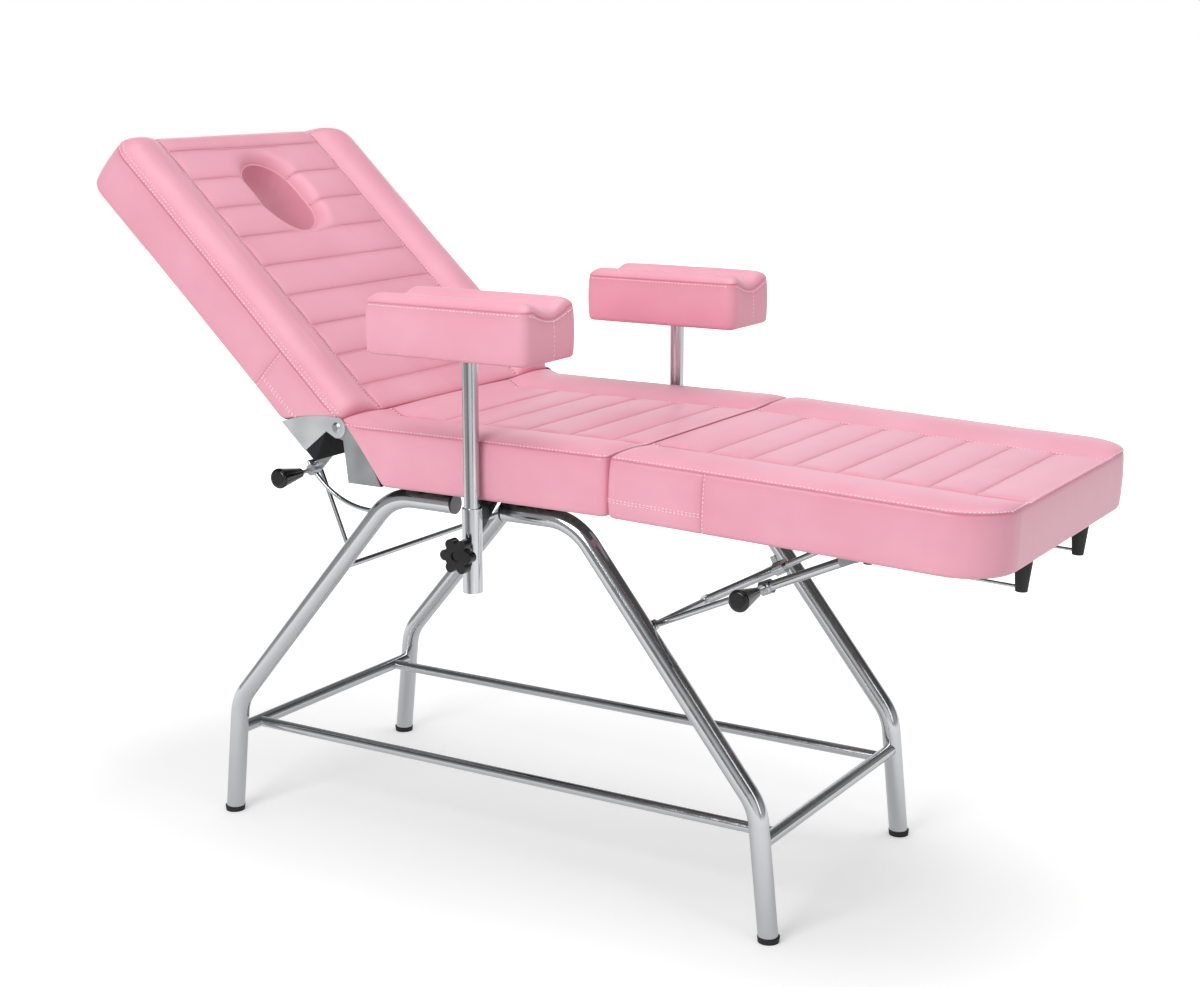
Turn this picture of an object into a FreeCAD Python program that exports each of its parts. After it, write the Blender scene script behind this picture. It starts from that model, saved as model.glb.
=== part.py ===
"""Tattoo chair: a chromed tube frame that carries a padded seat, a reclining
backrest with a face hole, a folding leg rest on two telescopic stays and two
padded armrests on height-adjustable posts.

Frame: millimetres, +Z up, +X towards the foot end, -Y the near side, origin on
the floor under the middle of the chair's outer box.
"""
import FreeCAD, Part
import Sketcher
import math
import os
from types import SimpleNamespace
from FreeCAD import Placement, Rotation, Vector

doc = FreeCAD.newDocument("tattoo_chair")
sheet = doc.addObject("Spreadsheet::Sheet", "Dims")

# Driving dimensions: millimetres, angles in degrees
SIZES = (
    # Leg frame, lengths along x measured from each pair's own feet
    ("foot_span", 1060.0),
    ("leg_half_width", 251.3),
    ("leg_tube_radius", 16.0),
    ("leg_tube_wall", 2.0),
    ("lower_bend_inset", 22.6),
    ("lower_bend_height", 210.7),
    ("lower_bend_radius", 85.0),
    ("head_bend_inset", 365.1),
    ("foot_bend_inset", 345.2),
    ("rail_height", 614.8),
    ("upper_bend_radius", 95.0),
    ("head_rail_length", 122.9),
    ("foot_rail_length", 127.8),
    ("glide_height", 9.0),
    ("glide_radius", 17.6),
    ("plug_depth", 16.0),
    ("plug_slack", 0.1),
    ("cap_thickness", 4.0),
    ("crossbar_radius", 11.0),
    ("crossbar_height", 153.4),
    ("long_bar_radius", 9.0),
    ("long_bar_half_width", 199.0),
    ("mid_rod_radius", 5.0),
    ("head_rod_height", 475.2),
    ("foot_rod_height", 458.8),
    ("spacer_radius", 13.0),
    ("bolt_radius", 4.0),
    # Seat, its underside measured from the rails and its end from the head-side feet
    ("seat_over_rail", 26.7),
    ("seat_depth", 91.6),
    ("seat_foot_end", 805.7),
    ("half_width", 312.5),
    ("crest_rise", 10.0),
    ("crest_inset", 58.0),
    ("end_roll", 32.0),
    ("side_draw", 2.5),
    ("side_belly", 2.0),
    ("corner_radius", 14.0),
    ("seat_groove_drop", 5.0),
    ("rib_rise", 7.0),
    ("seat_bolster_line", 175.0),
    ("seat_channel_start", 102.6),
    ("seat_channel_pitch", 82.5),
    ("board_thickness", 12.0),
    ("board_inset", 14.0),
    # Recline hinge and its side plates
    ("hinge_from_feet", 302.4),
    ("hinge_below_seam", 2.7),
    ("plate_thickness", 2.5),
    ("plate_gap", 0.3),
    ("plate_lobe_radius", 17.0),
    ("plate_reach", 84.0),
    ("plate_toe", 19.0),
    ("plate_notch_x", 10.7),
    ("plate_notch_drop", 19.9),
    ("plate_bow", 5.5),
    ("lobe_clearance", 0.8),
    ("rivet_radius", 5.0),
    ("rivet_head_radius", 9.0),
    ("rivet_head_height", 3.0),
    ("fit_clearance", 0.05),
    ("rail_toe", 4.2),
    # Backrest, lengths measured from the hinge axis
    ("back_angle", 42.64),
    ("back_length", 646.5),
    ("back_seam_rise", 6.9),
    ("back_depth", 84.0),
    ("back_crest_rise", 25.0),
    ("back_groove_rise", 6.0),
    ("back_bolster_line", 203.0),
    ("back_channel_start", 60.5),
    ("back_channel_pitch", 68.5),
    ("back_corner_radius", 45.0),
    ("face_hole_centre", 497.5),
    ("face_hole_length", 167.0),
    ("face_hole_width", 124.0),
    ("liner_thickness", 3.0),
    # Backrest lock: a fixed arc rail with a clamp that rides on it
    ("lock_rail_radius", 4.0),
    ("lock_arc_radius", 152.0),
    ("lock_inset", 22.3),
    ("lock_rest_angle", 218.8),
    ("lock_top_angle", 213.5),
    ("lock_low_angle", 282.0),
    ("prop_inset", 44.3),
    ("hub_radius", 9.5),
    ("hub_half_length", 8.0),
    ("arm_thickness", 4.0),
    ("arm_half_width", 8.0),
    ("arm_foot_length", 44.0),
    ("screw_radius", 3.5),
    ("handle_gap", 24.0),
    ("handle_length", 62.0),
    ("handle_tip_radius", 8.5),
    ("handle_end_radius", 17.0),
    ("handle_round", 6.0),
    # Leg rest, lengths measured from its joint with the seat
    ("leg_joint_from_feet", 809.6),
    ("leg_rest_tilt", 2.09),
    ("leg_rest_length", 609.3),
    ("leg_corner_radius", 85.0),
    ("leg_groove_drop", 10.0),
    ("leg_channel_start", 95.0),
    ("leg_channel_pitch", 71.4),
    ("leg_border", 76.0),
    ("hinge_barrel_radius", 5.0),
    ("hinge_pin_radius", 2.5),
    ("hinge_leaf_length", 42.0),
    ("hinge_leaf_width", 66.0),
    ("hinge_leaf_thickness", 2.2),
    ("leg_hinge_half_width", 200.0),
    ("stub_station", 585.0),
    ("stub_half_width", 126.0),
    ("stub_height", 52.0),
    ("stub_top_radius", 14.0),
    ("stub_tip_radius", 9.0),
    ("block_station", 347.0),
    ("side_rod_radius", 2.5),
    ("side_rod_drop", 46.0),
    # Telescopic stays between the foot mid rod and the leg rest
    ("stay_rod_radius", 5.0),
    ("stay_tube_radius", 7.5),
    ("stay_eye_radius", 9.0),
    ("stay_eye_width", 12.0),
    ("near_stay_inset", 26.3),
    ("near_stay_station", 368.6),
    ("near_stay_drop", 108.7),
    ("near_collar_reach", 204.0),
    ("centre_stay_plane", 50.0),
    ("centre_stay_station", 317.4),
    ("centre_stay_drop", 108.7),
    ("centre_collar_reach", 140.0),
    ("collar_radius", 11.0),
    ("collar_length", 18.0),
    ("stay_overlap", 28.0),
    ("tongue_thickness", 4.0),
    ("tongue_length", 34.0),
    ("lug_thickness", 3.0),
    ("lug_radius", 9.0),
    ("lug_gap", 0.6),
    ("boss_radius", 7.0),
    ("boss_height", 6.0),
    # Armrests
    ("post_from_feet", 573.8),
    ("post_half_width", 324.8),
    ("post_radius", 12.5),
    ("post_wall", 2.0),
    ("post_length", 340.0),
    ("sleeve_radius", 15.75),
    ("sleeve_top", 633.0),
    ("sleeve_length", 134.0),
    ("knob_height", 565.0),
    ("near_pad_rise", 137.7),
    ("far_pad_rise", 116.8),
    ("pad_length", 295.0),
    ("pad_width", 143.0),
    ("pad_seam_rise", 80.4),
    ("pad_crown", 13.0),
    ("pad_trough", 9.0),
    ("pad_corner_radius", 20.0),
    ("pad_belly", 3.0),
    ("pad_plate_length", 150.0),
    ("pad_plate_width", 70.0),
    ("pad_plate_thickness", 4.0),
    ("spigot_length", 36.0),
    ("bracket_width", 40.0),
    ("bracket_length", 96.0),
    ("bracket_thickness", 5.0),
    ("gusset_height", 62.0),
    ("knob_lobe_radius", 8.5),
    ("knob_reach", 20.5),
    ("knob_thickness", 15.0),
    ("knob_neck_radius", 10.0),
    ("knob_neck_length", 9.0),
    ("knob_recess_radius", 8.0),
    ("knob_recess_depth", 2.5),
    ("overrun", 20.0),
)
for row, (alias, value) in enumerate(SIZES, start=1):
    sheet.set("A%d" % row, alias)
    sheet.set("B%d" % row, str(value))
    sheet.setAlias("B%d" % row, alias)
doc.recompute()
dim = SimpleNamespace(**{alias: float(sheet.get(alias)) for alias, value in SIZES})

# Counts
SEAT_SEAM_COUNT = 5
BACK_SEAM_COUNT = 9
LEG_SEAM_COUNT = 7
KNOB_LOBES = 6

# Outlines' shares of the sizes that they follow
SPACER_SHARES = (0.42, 0.84)
KNUCKLE_SHARES = (0.0, 0.34, 0.66, 1.0)
ROLL_SHARES = (0.3, 0.75)
RAIL_SHOULDER_SHARE = 0.78
RAIL_NOTCH_SHARES = ((1.2, 0.35), (0.55, 1.6))
TROUGH_SHARE = 0.6
CROWN_SHARE = 0.82
LUG_WING_SHARE = 1.8
KNOB_VALLEY_SHARE = 1.0
HANDLE_NECK_SHARE = 0.55
HANDLE_SHOULDER_SHARES = (0.9, 0.4)
BLOCK_TAPER_SHARE = 0.8
BORDER_CREST_SHARE = 0.7

# Angles round the hinge plates' lobes, in degrees from the plate's own side
LOBE_TOP_DEGREES = 51.3
LOBE_SIDE_DEGREES = 150
LOBE_LOW_DEGREES = 240

# Directions
EAST = Vector(1, 0, 0)
NORTH = Vector(0, 1, 0)
UP = Vector(0, 0, 1)

PARTS = []


# Small helpers
def keep(item, label):
    """Name a finished sub-part and put it on the export list."""
    item.Label = label
    PARTS.append(item)
    return item


def bind(item, name, value):
    """Set a property to a number, or bind it to an expression of the sheet's cells."""
    if isinstance(value, str):
        item.setExpression(name, value)
    else:
        setattr(item, name, value)


def at(x, y, z, axis=UP, degrees=0):
    return Placement(Vector(x, y, z), Rotation(axis, degrees))


def along(start, direction):
    """A placement whose own +Z runs from start in the given direction."""
    return Placement(start, Rotation(UP, direction))


def cylinder(name, radius, height, placement):
    solid = doc.addObject("Part::Cylinder", name)
    bind(solid, "Radius", radius)
    bind(solid, "Height", height)
    solid.Placement = placement
    return solid


def cone(name, radius_low, radius_high, height, placement):
    solid = doc.addObject("Part::Cone", name)
    bind(solid, "Radius1", radius_low)
    bind(solid, "Radius2", radius_high)
    bind(solid, "Height", height)
    solid.Placement = placement
    return solid


def box(name, length, width, height, placement):
    solid = doc.addObject("Part::Box", name)
    bind(solid, "Length", length)
    bind(solid, "Width", width)
    bind(solid, "Height", height)
    solid.Placement = placement
    return solid


def fuse(name, items):
    result = doc.addObject("Part::MultiFuse", name)
    result.Shapes = items
    return result


def cut(name, base, tools):
    result = doc.addObject("Part::Cut", name)
    result.Base = base
    result.Tool = tools[0] if len(tools) == 1 else fuse(name + "_tools", tools)
    return result


def group(name, items):
    result = doc.addObject("Part::Compound", name)
    result.Links = items
    return result


def feature(name, shape, placement=None):
    result = doc.addObject("Part::Feature", name)
    result.Shape = shape
    if placement is not None:
        result.Placement = placement
    return result


def new_body(name, placement):
    body = doc.addObject("PartDesign::Body", name)
    body.Placement = placement
    return body


def sketch_on(body, name, role):
    """A sketch on one of the body's own origin planes."""
    plane = [item for item in body.Origin.OriginFeatures if item.Role == role][0]
    sketch = body.newObject("Sketcher::SketchObject", name)
    sketch.AttachmentSupport = (plane, "")
    sketch.MapMode = "FlatFace"
    return sketch


def add_circle(sketch, centre, radius_name, expression, radius):
    """A circle in a sketch whose radius is bound to the sheet."""
    index = sketch.addGeometry(Part.Circle(centre, UP, radius), False)
    number = sketch.addConstraint(Sketcher.Constraint("Radius", index, radius))
    sketch.renameConstraint(number, radius_name)
    sketch.setExpression("Constraints." + radius_name, expression)


def outline(points):
    """Lines and arcs round a closed outline.

    Each entry is a corner, or a pair of the point that an arc passes and the
    corner where it ends.
    """
    edges = []
    last = points[-1][1] if isinstance(points[-1], tuple) else points[-1]
    for entry in points:
        if isinstance(entry, tuple):
            edges.append(Part.Arc(last, entry[0], entry[1]))
            last = entry[1]
        else:
            edges.append(Part.LineSegment(last, entry))
            last = entry
    return edges


def face_of(points):
    edges = [edge.toShape() for edge in outline(points)]
    return Part.Face(Part.Wire(Part.__sortEdges__(edges)))


def prism(points, direction):
    return face_of(points).extrude(direction)


def pad(body, name, role, points, length):
    """A symmetric pad of an outline drawn on one of the body's origin planes."""
    sketch = sketch_on(body, name + "_outline", role)
    sketch.addGeometry(outline(points), False)
    solid = body.newObject("PartDesign::Pad", name)
    solid.Profile = sketch
    solid.SideType = "Symmetric"
    bind(solid, "Length", length)
    return solid


def rounded_path(points, radii):
    """Straight runs joined by tangent arcs, one radius for each inner corner."""
    edges = []
    start = points[0]
    for index, radius in enumerate(radii, start=1):
        corner = points[index]
        back = (points[index - 1] - corner).normalize()
        ahead = (points[index + 1] - corner).normalize()
        half = back.getAngle(ahead) / 2
        run = radius / math.tan(half)
        middle = (back + ahead).normalize()
        depth = radius / math.sin(half) - radius
        first = corner + back * run
        final = corner + ahead * run
        edges.append(Part.LineSegment(start, first))
        edges.append(Part.Arc(first, corner + middle * depth, final))
        start = final
    edges.append(Part.LineSegment(start, points[-1]))
    return edges


# Places worked out from the sizes
back_angle = math.radians(dim.back_angle)
tilt = math.radians(dim.leg_rest_tilt)
back_rear = dim.back_depth - dim.back_seam_rise
low_x = dim.hinge_from_feet - dim.back_length * math.cos(back_angle) - back_rear * math.sin(back_angle)
high_x = dim.leg_joint_from_feet + dim.leg_rest_length * math.cos(tilt)
head_foot_x = -(low_x + high_x) / 2
foot_foot_x = head_foot_x + dim.foot_span
seat_bottom = dim.rail_height + dim.seat_over_rail
seat_depth = dim.seat_depth
seam_height = seat_bottom + seat_depth
hinge = Vector(head_foot_x + dim.hinge_from_feet, 0, seam_height - dim.hinge_below_seam)
lock_plane = dim.leg_half_width - dim.lock_inset
prop_plane = dim.leg_half_width - dim.prop_inset
leg_joint = Vector(head_foot_x + dim.leg_joint_from_feet, 0, seam_height)
seat_end_x = head_foot_x + dim.seat_foot_end
leg_hinge = Vector(seat_end_x, 0, seat_bottom - dim.hinge_barrel_radius - 2 * dim.plate_gap)
post_x = head_foot_x + dim.post_from_feet
back_place = Placement(hinge, Rotation(NORTH, dim.back_angle))
leg_place = Placement(leg_joint, Rotation(NORTH, dim.leg_rest_tilt))
lean = dim.lower_bend_inset / dim.lower_bend_height


def slant_x(bend_inset, height):
    """How far inward the middle of a leg's slanted run is at a height."""
    share = (height - dim.lower_bend_height) / (dim.rail_height - dim.lower_bend_height)
    return dim.lower_bend_inset + share * (bend_inset - dim.lower_bend_inset)


head_rod_x = head_foot_x + slant_x(dim.head_bend_inset, dim.head_rod_height)
foot_rod_x = foot_foot_x - slant_x(dim.foot_bend_inset, dim.foot_rod_height)


# Frame: four bent legs with plugs, glides and crossbars
LEGS = (
    ("head_leg_near", head_foot_x, 1, -1, dim.head_bend_inset, dim.head_rail_length),
    ("head_leg_far", head_foot_x, 1, 1, dim.head_bend_inset, dim.head_rail_length),
    ("foot_leg_near", foot_foot_x, -1, -1, dim.foot_bend_inset, dim.foot_rail_length),
    ("foot_leg_far", foot_foot_x, -1, 1, dim.foot_bend_inset, dim.foot_rail_length),
)


def leg_place_at(foot_x, inward, side):
    turn = 0 if inward > 0 else 180
    start_x = foot_x + inward * lean * dim.glide_height
    return at(start_x, side * dim.leg_half_width, dim.glide_height, UP, turn)


def leg_path(bend_inset, rail_length):
    start = lean * dim.glide_height
    corners = (
        Vector(0, 0, 0),
        Vector(dim.lower_bend_inset - start, dim.lower_bend_height - dim.glide_height, 0),
        Vector(bend_inset - start, dim.rail_height - dim.glide_height, 0),
        Vector(bend_inset + rail_length - start, dim.rail_height - dim.glide_height, 0),
    )
    return rounded_path(corners, (dim.lower_bend_radius, dim.upper_bend_radius))


def make_leg(label, foot_x, inward, side, bend_inset, rail_length):
    """One leg: a tube bent twice, from the glide up to the end of its seat rail."""
    body = new_body(label, leg_place_at(foot_x, inward, side))
    section = sketch_on(body, label + "_section", "XY_Plane")
    zero = Vector(0, 0, 0)
    add_circle(section, zero, "outer", "Dims.leg_tube_radius", dim.leg_tube_radius)
    inner = dim.leg_tube_radius - dim.leg_tube_wall
    add_circle(section, zero, "inner", "Dims.leg_tube_radius - Dims.leg_tube_wall", inner)
    path = sketch_on(body, label + "_path", "XZ_Plane")
    edges = leg_path(bend_inset, rail_length)
    path.addGeometry(edges, False)
    tube = body.newObject("PartDesign::AdditivePipe", label + "_tube")
    tube.Profile = section
    tube.Spine = (path, ["Edge%d" % number for number in range(1, len(edges) + 1)])
    keep(body, label)


def make_frame():
    glides = []
    caps = []
    for label, foot_x, inward, side, bend_inset, rail_length in LEGS:
        make_leg(label, foot_x, inward, side, bend_inset, rail_length)
        y = side * dim.leg_half_width
        disc = cone(label + "_glide_disc", "Dims.glide_radius - Dims.leg_tube_wall / 2",
                    "Dims.glide_radius", "Dims.glide_height", at(foot_x, y, 0))
        rise = Vector(inward * lean, 0, 1)
        spigot = cylinder(label + "_glide_plug", "Dims.leg_tube_radius - Dims.leg_tube_wall - Dims.plug_slack",
                          "Dims.plug_depth + Dims.glide_height / 2",
                          along(Vector(foot_x + inward * lean * dim.glide_height / 2, y, dim.glide_height / 2), rise))
        glides.append(fuse(label + "_glide", [disc, spigot]))
        end_x = foot_x + inward * (bend_inset + rail_length)
        outward = Vector(-inward, 0, 0)
        lid = cylinder(label + "_cap_lid", "Dims.leg_tube_radius", "Dims.cap_thickness + Dims.leg_tube_wall",
                       along(Vector(end_x + inward * dim.cap_thickness, y, dim.rail_height), outward))
        stem = cylinder(label + "_cap_stem", "Dims.leg_tube_radius - Dims.leg_tube_wall - Dims.plug_slack",
                        "Dims.plug_depth + Dims.cap_thickness",
                        along(Vector(end_x + inward * dim.cap_thickness, y, dim.rail_height), outward))
        block = 2 * dim.glide_radius
        square = at(end_x, y, dim.rail_height, NORTH, -inward * math.degrees(math.atan(lean)))
        trim = box(label + "_cap_trim", block, block, block,
                   square.multiply(at(-block * (1 + inward) / 2, -block / 2, -block / 2)))
        caps.append(fuse(label + "_cap", [cut(label + "_cap_seat", lid, [trim]), stem]))
    keep(group("glide_group", glides), "floor_glides")
    keep(group("cap_group", caps), "rail_end_caps")


def lower_leg_cutter(name, foot_x, inward, side):
    """The straight lower run of a leg, as a tool that copes what is welded to it."""
    start = Vector(foot_x, side * dim.leg_half_width, 0)
    return cylinder(name, "Dims.leg_tube_radius", "Dims.lower_bend_height",
                    along(start, Vector(inward * lean, 0, 1)))


def slant_cutter(name, foot_x, inward, side, bend_inset):
    start = Vector(foot_x + inward * dim.lower_bend_inset, side * dim.leg_half_width, dim.lower_bend_height)
    end = Vector(foot_x + inward * bend_inset, side * dim.leg_half_width, dim.rail_height)
    return cylinder(name, "Dims.leg_tube_radius", (end - start).Length, along(start, end - start))


def cross_member(name, radius, x, z):
    """A bar from the middle of the near leg to the middle of the far one."""
    start = Vector(x, -dim.leg_half_width, z)
    return cylinder(name, radius, "2 * Dims.leg_half_width", along(start, NORTH))


def make_crossbars():
    rods = []
    for name, foot_x, inward, bend_inset, rod_x, rod_height in (
        ("head", head_foot_x, 1, dim.head_bend_inset, head_rod_x, dim.head_rod_height),
        ("foot", foot_foot_x, -1, dim.foot_bend_inset, foot_rod_x, dim.foot_rod_height),
    ):
        bar = cross_member(name + "_bar_blank", "Dims.crossbar_radius",
                           foot_x + inward * lean * dim.crossbar_height, dim.crossbar_height)
        legs = [lower_leg_cutter("%s_bar_cope_%d" % (name, side + 1), foot_x, inward, side) for side in (-1, 1)]
        keep(cut(name + "_bar_cut", bar, legs), name + "_crossbar")
        rod = cross_member(name + "_rod_blank", "Dims.mid_rod_radius", rod_x, rod_height)
        slants = [slant_cutter("%s_rod_cope_%d" % (name, side + 1), foot_x, inward, side, bend_inset)
                  for side in (-1, 1)]
        rods.append(cut(name + "_rod_cut", rod, slants))
    keep(group("mid_rod_group", rods), "mid_rods")
    bars = []
    inset = lean * dim.crossbar_height
    for side in (-1, 1):
        start = Vector(head_foot_x + inset, side * dim.long_bar_half_width, dim.crossbar_height)
        blank = cylinder("long_bar_blank_%d" % (side + 1), "Dims.long_bar_radius",
                         dim.foot_span - 2 * inset, along(start, EAST))
        copes = [cross_member("long_bar_cope_%d_%d" % (side + 1, index), "Dims.crossbar_radius", x,
                              dim.crossbar_height)
                 for index, x in enumerate((head_foot_x + inset, foot_foot_x - inset))]
        bars.append(cut("long_bar_%d" % (side + 1), blank, copes))
    keep(group("long_bar_group", bars), "long_bars")


def make_spacers():
    """Rubber saddles between the seat rails and the seat board."""
    spacers = []
    height = seat_bottom - dim.rail_height
    for label, foot_x, inward, side, bend_inset, rail_length in LEGS:
        for share in SPACER_SHARES:
            x = foot_x + inward * (bend_inset + share * rail_length)
            y = side * dim.leg_half_width
            name = "%s_spacer_%d" % (label, round(100 * share))
            blank = cylinder(name + "_blank", "Dims.spacer_radius", height, at(x, y, dim.rail_height))
            rail = cylinder(name + "_rail", "Dims.leg_tube_radius", "4 * Dims.spacer_radius",
                            along(Vector(x - 2 * dim.spacer_radius, y, dim.rail_height), EAST))
            spacers.append(cut(name, blank, [rail]))
    keep(group("spacer_group", spacers), "seat_spacers")


# Cushions: each is modelled lying flat, with z from its seam plane
def section_points(x, depth, crest, groove, bolster_line):
    """The cushion's section across its width: drawn-in walls, bolsters and panel."""
    hw = dim.half_width
    foot = hw - dim.side_belly
    crest_y = hw - dim.crest_inset
    return (
        Vector(x, foot, -depth),
        (Vector(x, hw, -depth / 2), Vector(x, hw - dim.side_belly / 2, 0)),
        (Vector(x, crest_y, crest), Vector(x, bolster_line, groove)),
        Vector(x, -bolster_line, groove),
        (Vector(x, -crest_y, crest), Vector(x, dim.side_belly / 2 - hw, 0)),
        (Vector(x, -hw, -depth / 2), Vector(x, -foot, -depth)),
    )


def plan_points(low, high, low_radius, high_radius, z):
    """The cushion's plan: rounded corners and sides drawn in between them."""
    hw = dim.half_width
    draw = hw - dim.side_draw
    middle = (low + high) / 2
    bend = 1 - math.sqrt(0.5)
    return (
        (Vector(middle, -draw, z), Vector(high - high_radius, -hw, z)),
        (Vector(high - bend * high_radius, -hw + bend * high_radius, z), Vector(high, -hw + high_radius, z)),
        Vector(high, hw - high_radius, z),
        (Vector(high - bend * high_radius, hw - bend * high_radius, z), Vector(high - high_radius, hw, z)),
        (Vector(middle, draw, z), Vector(low + low_radius, hw, z)),
        (Vector(low + bend * low_radius, hw - bend * low_radius, z), Vector(low, hw - low_radius, z)),
        Vector(low, -hw + low_radius, z),
        (Vector(low + bend * low_radius, -hw + bend * low_radius, z), Vector(low + low_radius, -hw, z)),
    )


def rib_points(seams, base, groove, rise):
    """The channelled panel seen from the side: one low arc between two seams."""
    points = [Vector(seams[0], 0, base), Vector(seams[0], 0, groove)]
    for first, second in zip(seams, seams[1:]):
        points.append((Vector((first + second) / 2, 0, groove + rise), Vector(second, 0, groove)))
    points.append(Vector(seams[-1], 0, base))
    return points


def cushion_shape(low, high, depth, crest, groove, bolster_line, side, plan_radii, seams):
    """A boxed cushion: its section, side view and plan in common, with ribs on top."""
    run = high - low + 2 * dim.overrun
    section = prism(section_points(low - dim.overrun, depth, crest, groove, bolster_line), EAST * run)
    side_block = prism(side, NORTH * 2 * dim.half_width)
    side_block.translate(Vector(0, -dim.half_width, 0))
    height = depth + crest + 2 * dim.overrun
    plan = prism(plan_points(low, high, plan_radii[0], plan_radii[1], -depth - dim.overrun), UP * height)
    core = section.common(plan).common(side_block)
    ribs = prism(rib_points(seams, -depth / 2, groove, dim.rib_rise), NORTH * 2 * bolster_line)
    ribs.translate(Vector(0, -bolster_line, 0))
    return core.fuse(ribs.common(side_block).common(plan)).removeSplitter()


def hinge_notch(centre):
    """Room round the recline hinge's lobes and rivets, on both sides."""
    inner = dim.half_width - 4 * dim.plate_thickness
    tools = []
    for start in (-inner - dim.overrun, inner):
        tools.append(Part.makeCylinder(dim.plate_lobe_radius + dim.lobe_clearance, dim.overrun,
                                       centre + NORTH * start, NORTH))
    return tools


def lobe_point(sign, degrees):
    """A point on the round lobe about the hinge, mirrored for the backrest's plates."""
    angle = math.radians(degrees)
    return Vector(sign * dim.plate_lobe_radius * math.cos(angle), 0, dim.plate_lobe_radius * math.sin(angle))


def plate_edge(sign, drop):
    """The slanted edge where plate and vinyl meet: its top, middle and low end."""
    top = lobe_point(sign, LOBE_TOP_DEGREES)
    low = Vector(sign * dim.plate_reach, 0, -drop)
    chord = low - top
    normal = Vector(-sign * chord.z, 0, sign * chord.x).normalize()
    return top, top + chord * 0.5 + normal * dim.plate_bow, low


def plate_points(sign, drop):
    top, middle, low = plate_edge(sign, drop)
    return (
        (lobe_point(sign, LOBE_SIDE_DEGREES), lobe_point(sign, LOBE_LOW_DEGREES)),
        Vector(sign * dim.plate_notch_x, 0, -dim.plate_notch_drop),
        Vector(sign * dim.plate_toe, 0, -drop),
        low,
        (middle, top),
    )


def upright(points):
    """The same outline in the coordinates of a sketch on the XZ plane."""
    turned = []
    for entry in points:
        if isinstance(entry, tuple):
            turned.append((Vector(entry[0].x, entry[0].z, 0), Vector(entry[1].x, entry[1].z, 0)))
        else:
            turned.append(Vector(entry.x, entry.z, 0))
    return turned


def make_plate(label, sign, drop, y, hole, hole_radius, place):
    """A stamped side plate of the recline hinge, with the hole for its rivet."""
    body = new_body(label, place.multiply(at(0, y, 0)))
    sketch = sketch_on(body, label + "_outline", "XZ_Plane")
    sketch.addGeometry(outline(upright(plate_points(sign, drop))), False)
    add_circle(sketch, Vector(0, 0, 0), "hole", hole, hole_radius)
    solid = body.newObject("PartDesign::Pad", label + "_sheet")
    solid.Profile = sketch
    solid.SideType = "Symmetric"
    bind(solid, "Length", "Dims.plate_thickness")
    keep(body, label)


def make_rail_block(label, points, half_length, place):
    """A lined end rail under a cushion, which the side plates are screwed to."""
    body = new_body(label, place)
    pad(body, label + "_block", "XZ_Plane", upright(points), 2 * half_length)
    keep(body, label)


def board_points(low, high, low_radius, high_radius):
    hw = dim.half_width - dim.board_inset
    bend = 1 - math.sqrt(0.5)
    points = []
    for x, inward, radius, side in ((low, 1, low_radius, -1), (high, -1, high_radius, -1),
                                    (high, -1, high_radius, 1), (low, 1, low_radius, 1)):
        along_x = Vector(x + inward * radius, side * hw, 0)
        along_y = Vector(x, side * (hw - radius), 0)
        middle = Vector(x + inward * bend * radius, side * (hw - bend * radius), 0)
        first, final = (along_y, along_x) if inward * side < 0 else (along_x, along_y)
        points.append(first)
        points.append((middle, final))
    return points


def slot_points(centre_x, length, width):
    straight = (length - width) / 2
    radius = width / 2
    return (
        Vector(centre_x + straight, -radius, 0),
        (Vector(centre_x + straight + radius, 0, 0), Vector(centre_x + straight, radius, 0)),
        Vector(centre_x - straight, radius, 0),
        (Vector(centre_x - straight - radius, 0, 0), Vector(centre_x - straight, -radius, 0)),
    )


def make_board(label, points, seam_z, depth, place, holes=()):
    """The plywood board let into a cushion's underside."""
    body = new_body(label, place.multiply(at(0, 0, seam_z - depth + dim.board_thickness / 2)))
    sketch = sketch_on(body, label + "_outline", "XY_Plane")
    sketch.addGeometry(outline(points), False)
    for hole in holes:
        sketch.addGeometry(outline(hole), False)
    solid = body.newObject("PartDesign::Pad", label + "_sheet")
    solid.Profile = sketch
    solid.SideType = "Symmetric"
    bind(solid, "Length", "Dims.board_thickness")
    keep(body, label)


def board_pocket(points, depth):
    tool = prism(points, UP * dim.board_thickness)
    tool.translate(Vector(0, 0, -depth))
    return tool


def plate_side_points(sign, hinge_z, depth, crest, far_x):
    """A cushion's side view: slanted plate edge, rolled top and square far end."""
    top, middle, low = [point + Vector(0, 0, hinge_z) for point in plate_edge(sign, depth + hinge_z)]
    roll = sign * dim.end_roll
    lid = crest + dim.side_belly
    return (
        (middle, top),
        (top + Vector(ROLL_SHARES[0] * roll, 0, ROLL_SHARES[1] * (lid - top.z)), Vector(top.x + roll, 0, lid)),
        Vector(far_x - roll, 0, lid),
        (Vector(far_x - ROLL_SHARES[0] * roll, 0, ROLL_SHARES[1] * lid), Vector(far_x, 0, 0)),
        Vector(far_x, 0, -depth),
        low,
    )


def seam_places(start, pitch, count, ends):
    """Channel seams at a steady pitch between the cushion's two ends."""
    return [ends[0]] + [start + index * pitch for index in range(count)] + [ends[1]]


# Seat: cushion, board, end rail and fixed hinge plates
seat_place = at(hinge.x, 0, seam_height)
seat_far = seat_end_x - hinge.x
hinge_drop = hinge.z - seat_bottom
plate_outer = dim.half_width - dim.plate_thickness / 2
plate_inner = plate_outer - dim.plate_thickness - dim.plate_gap


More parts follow.
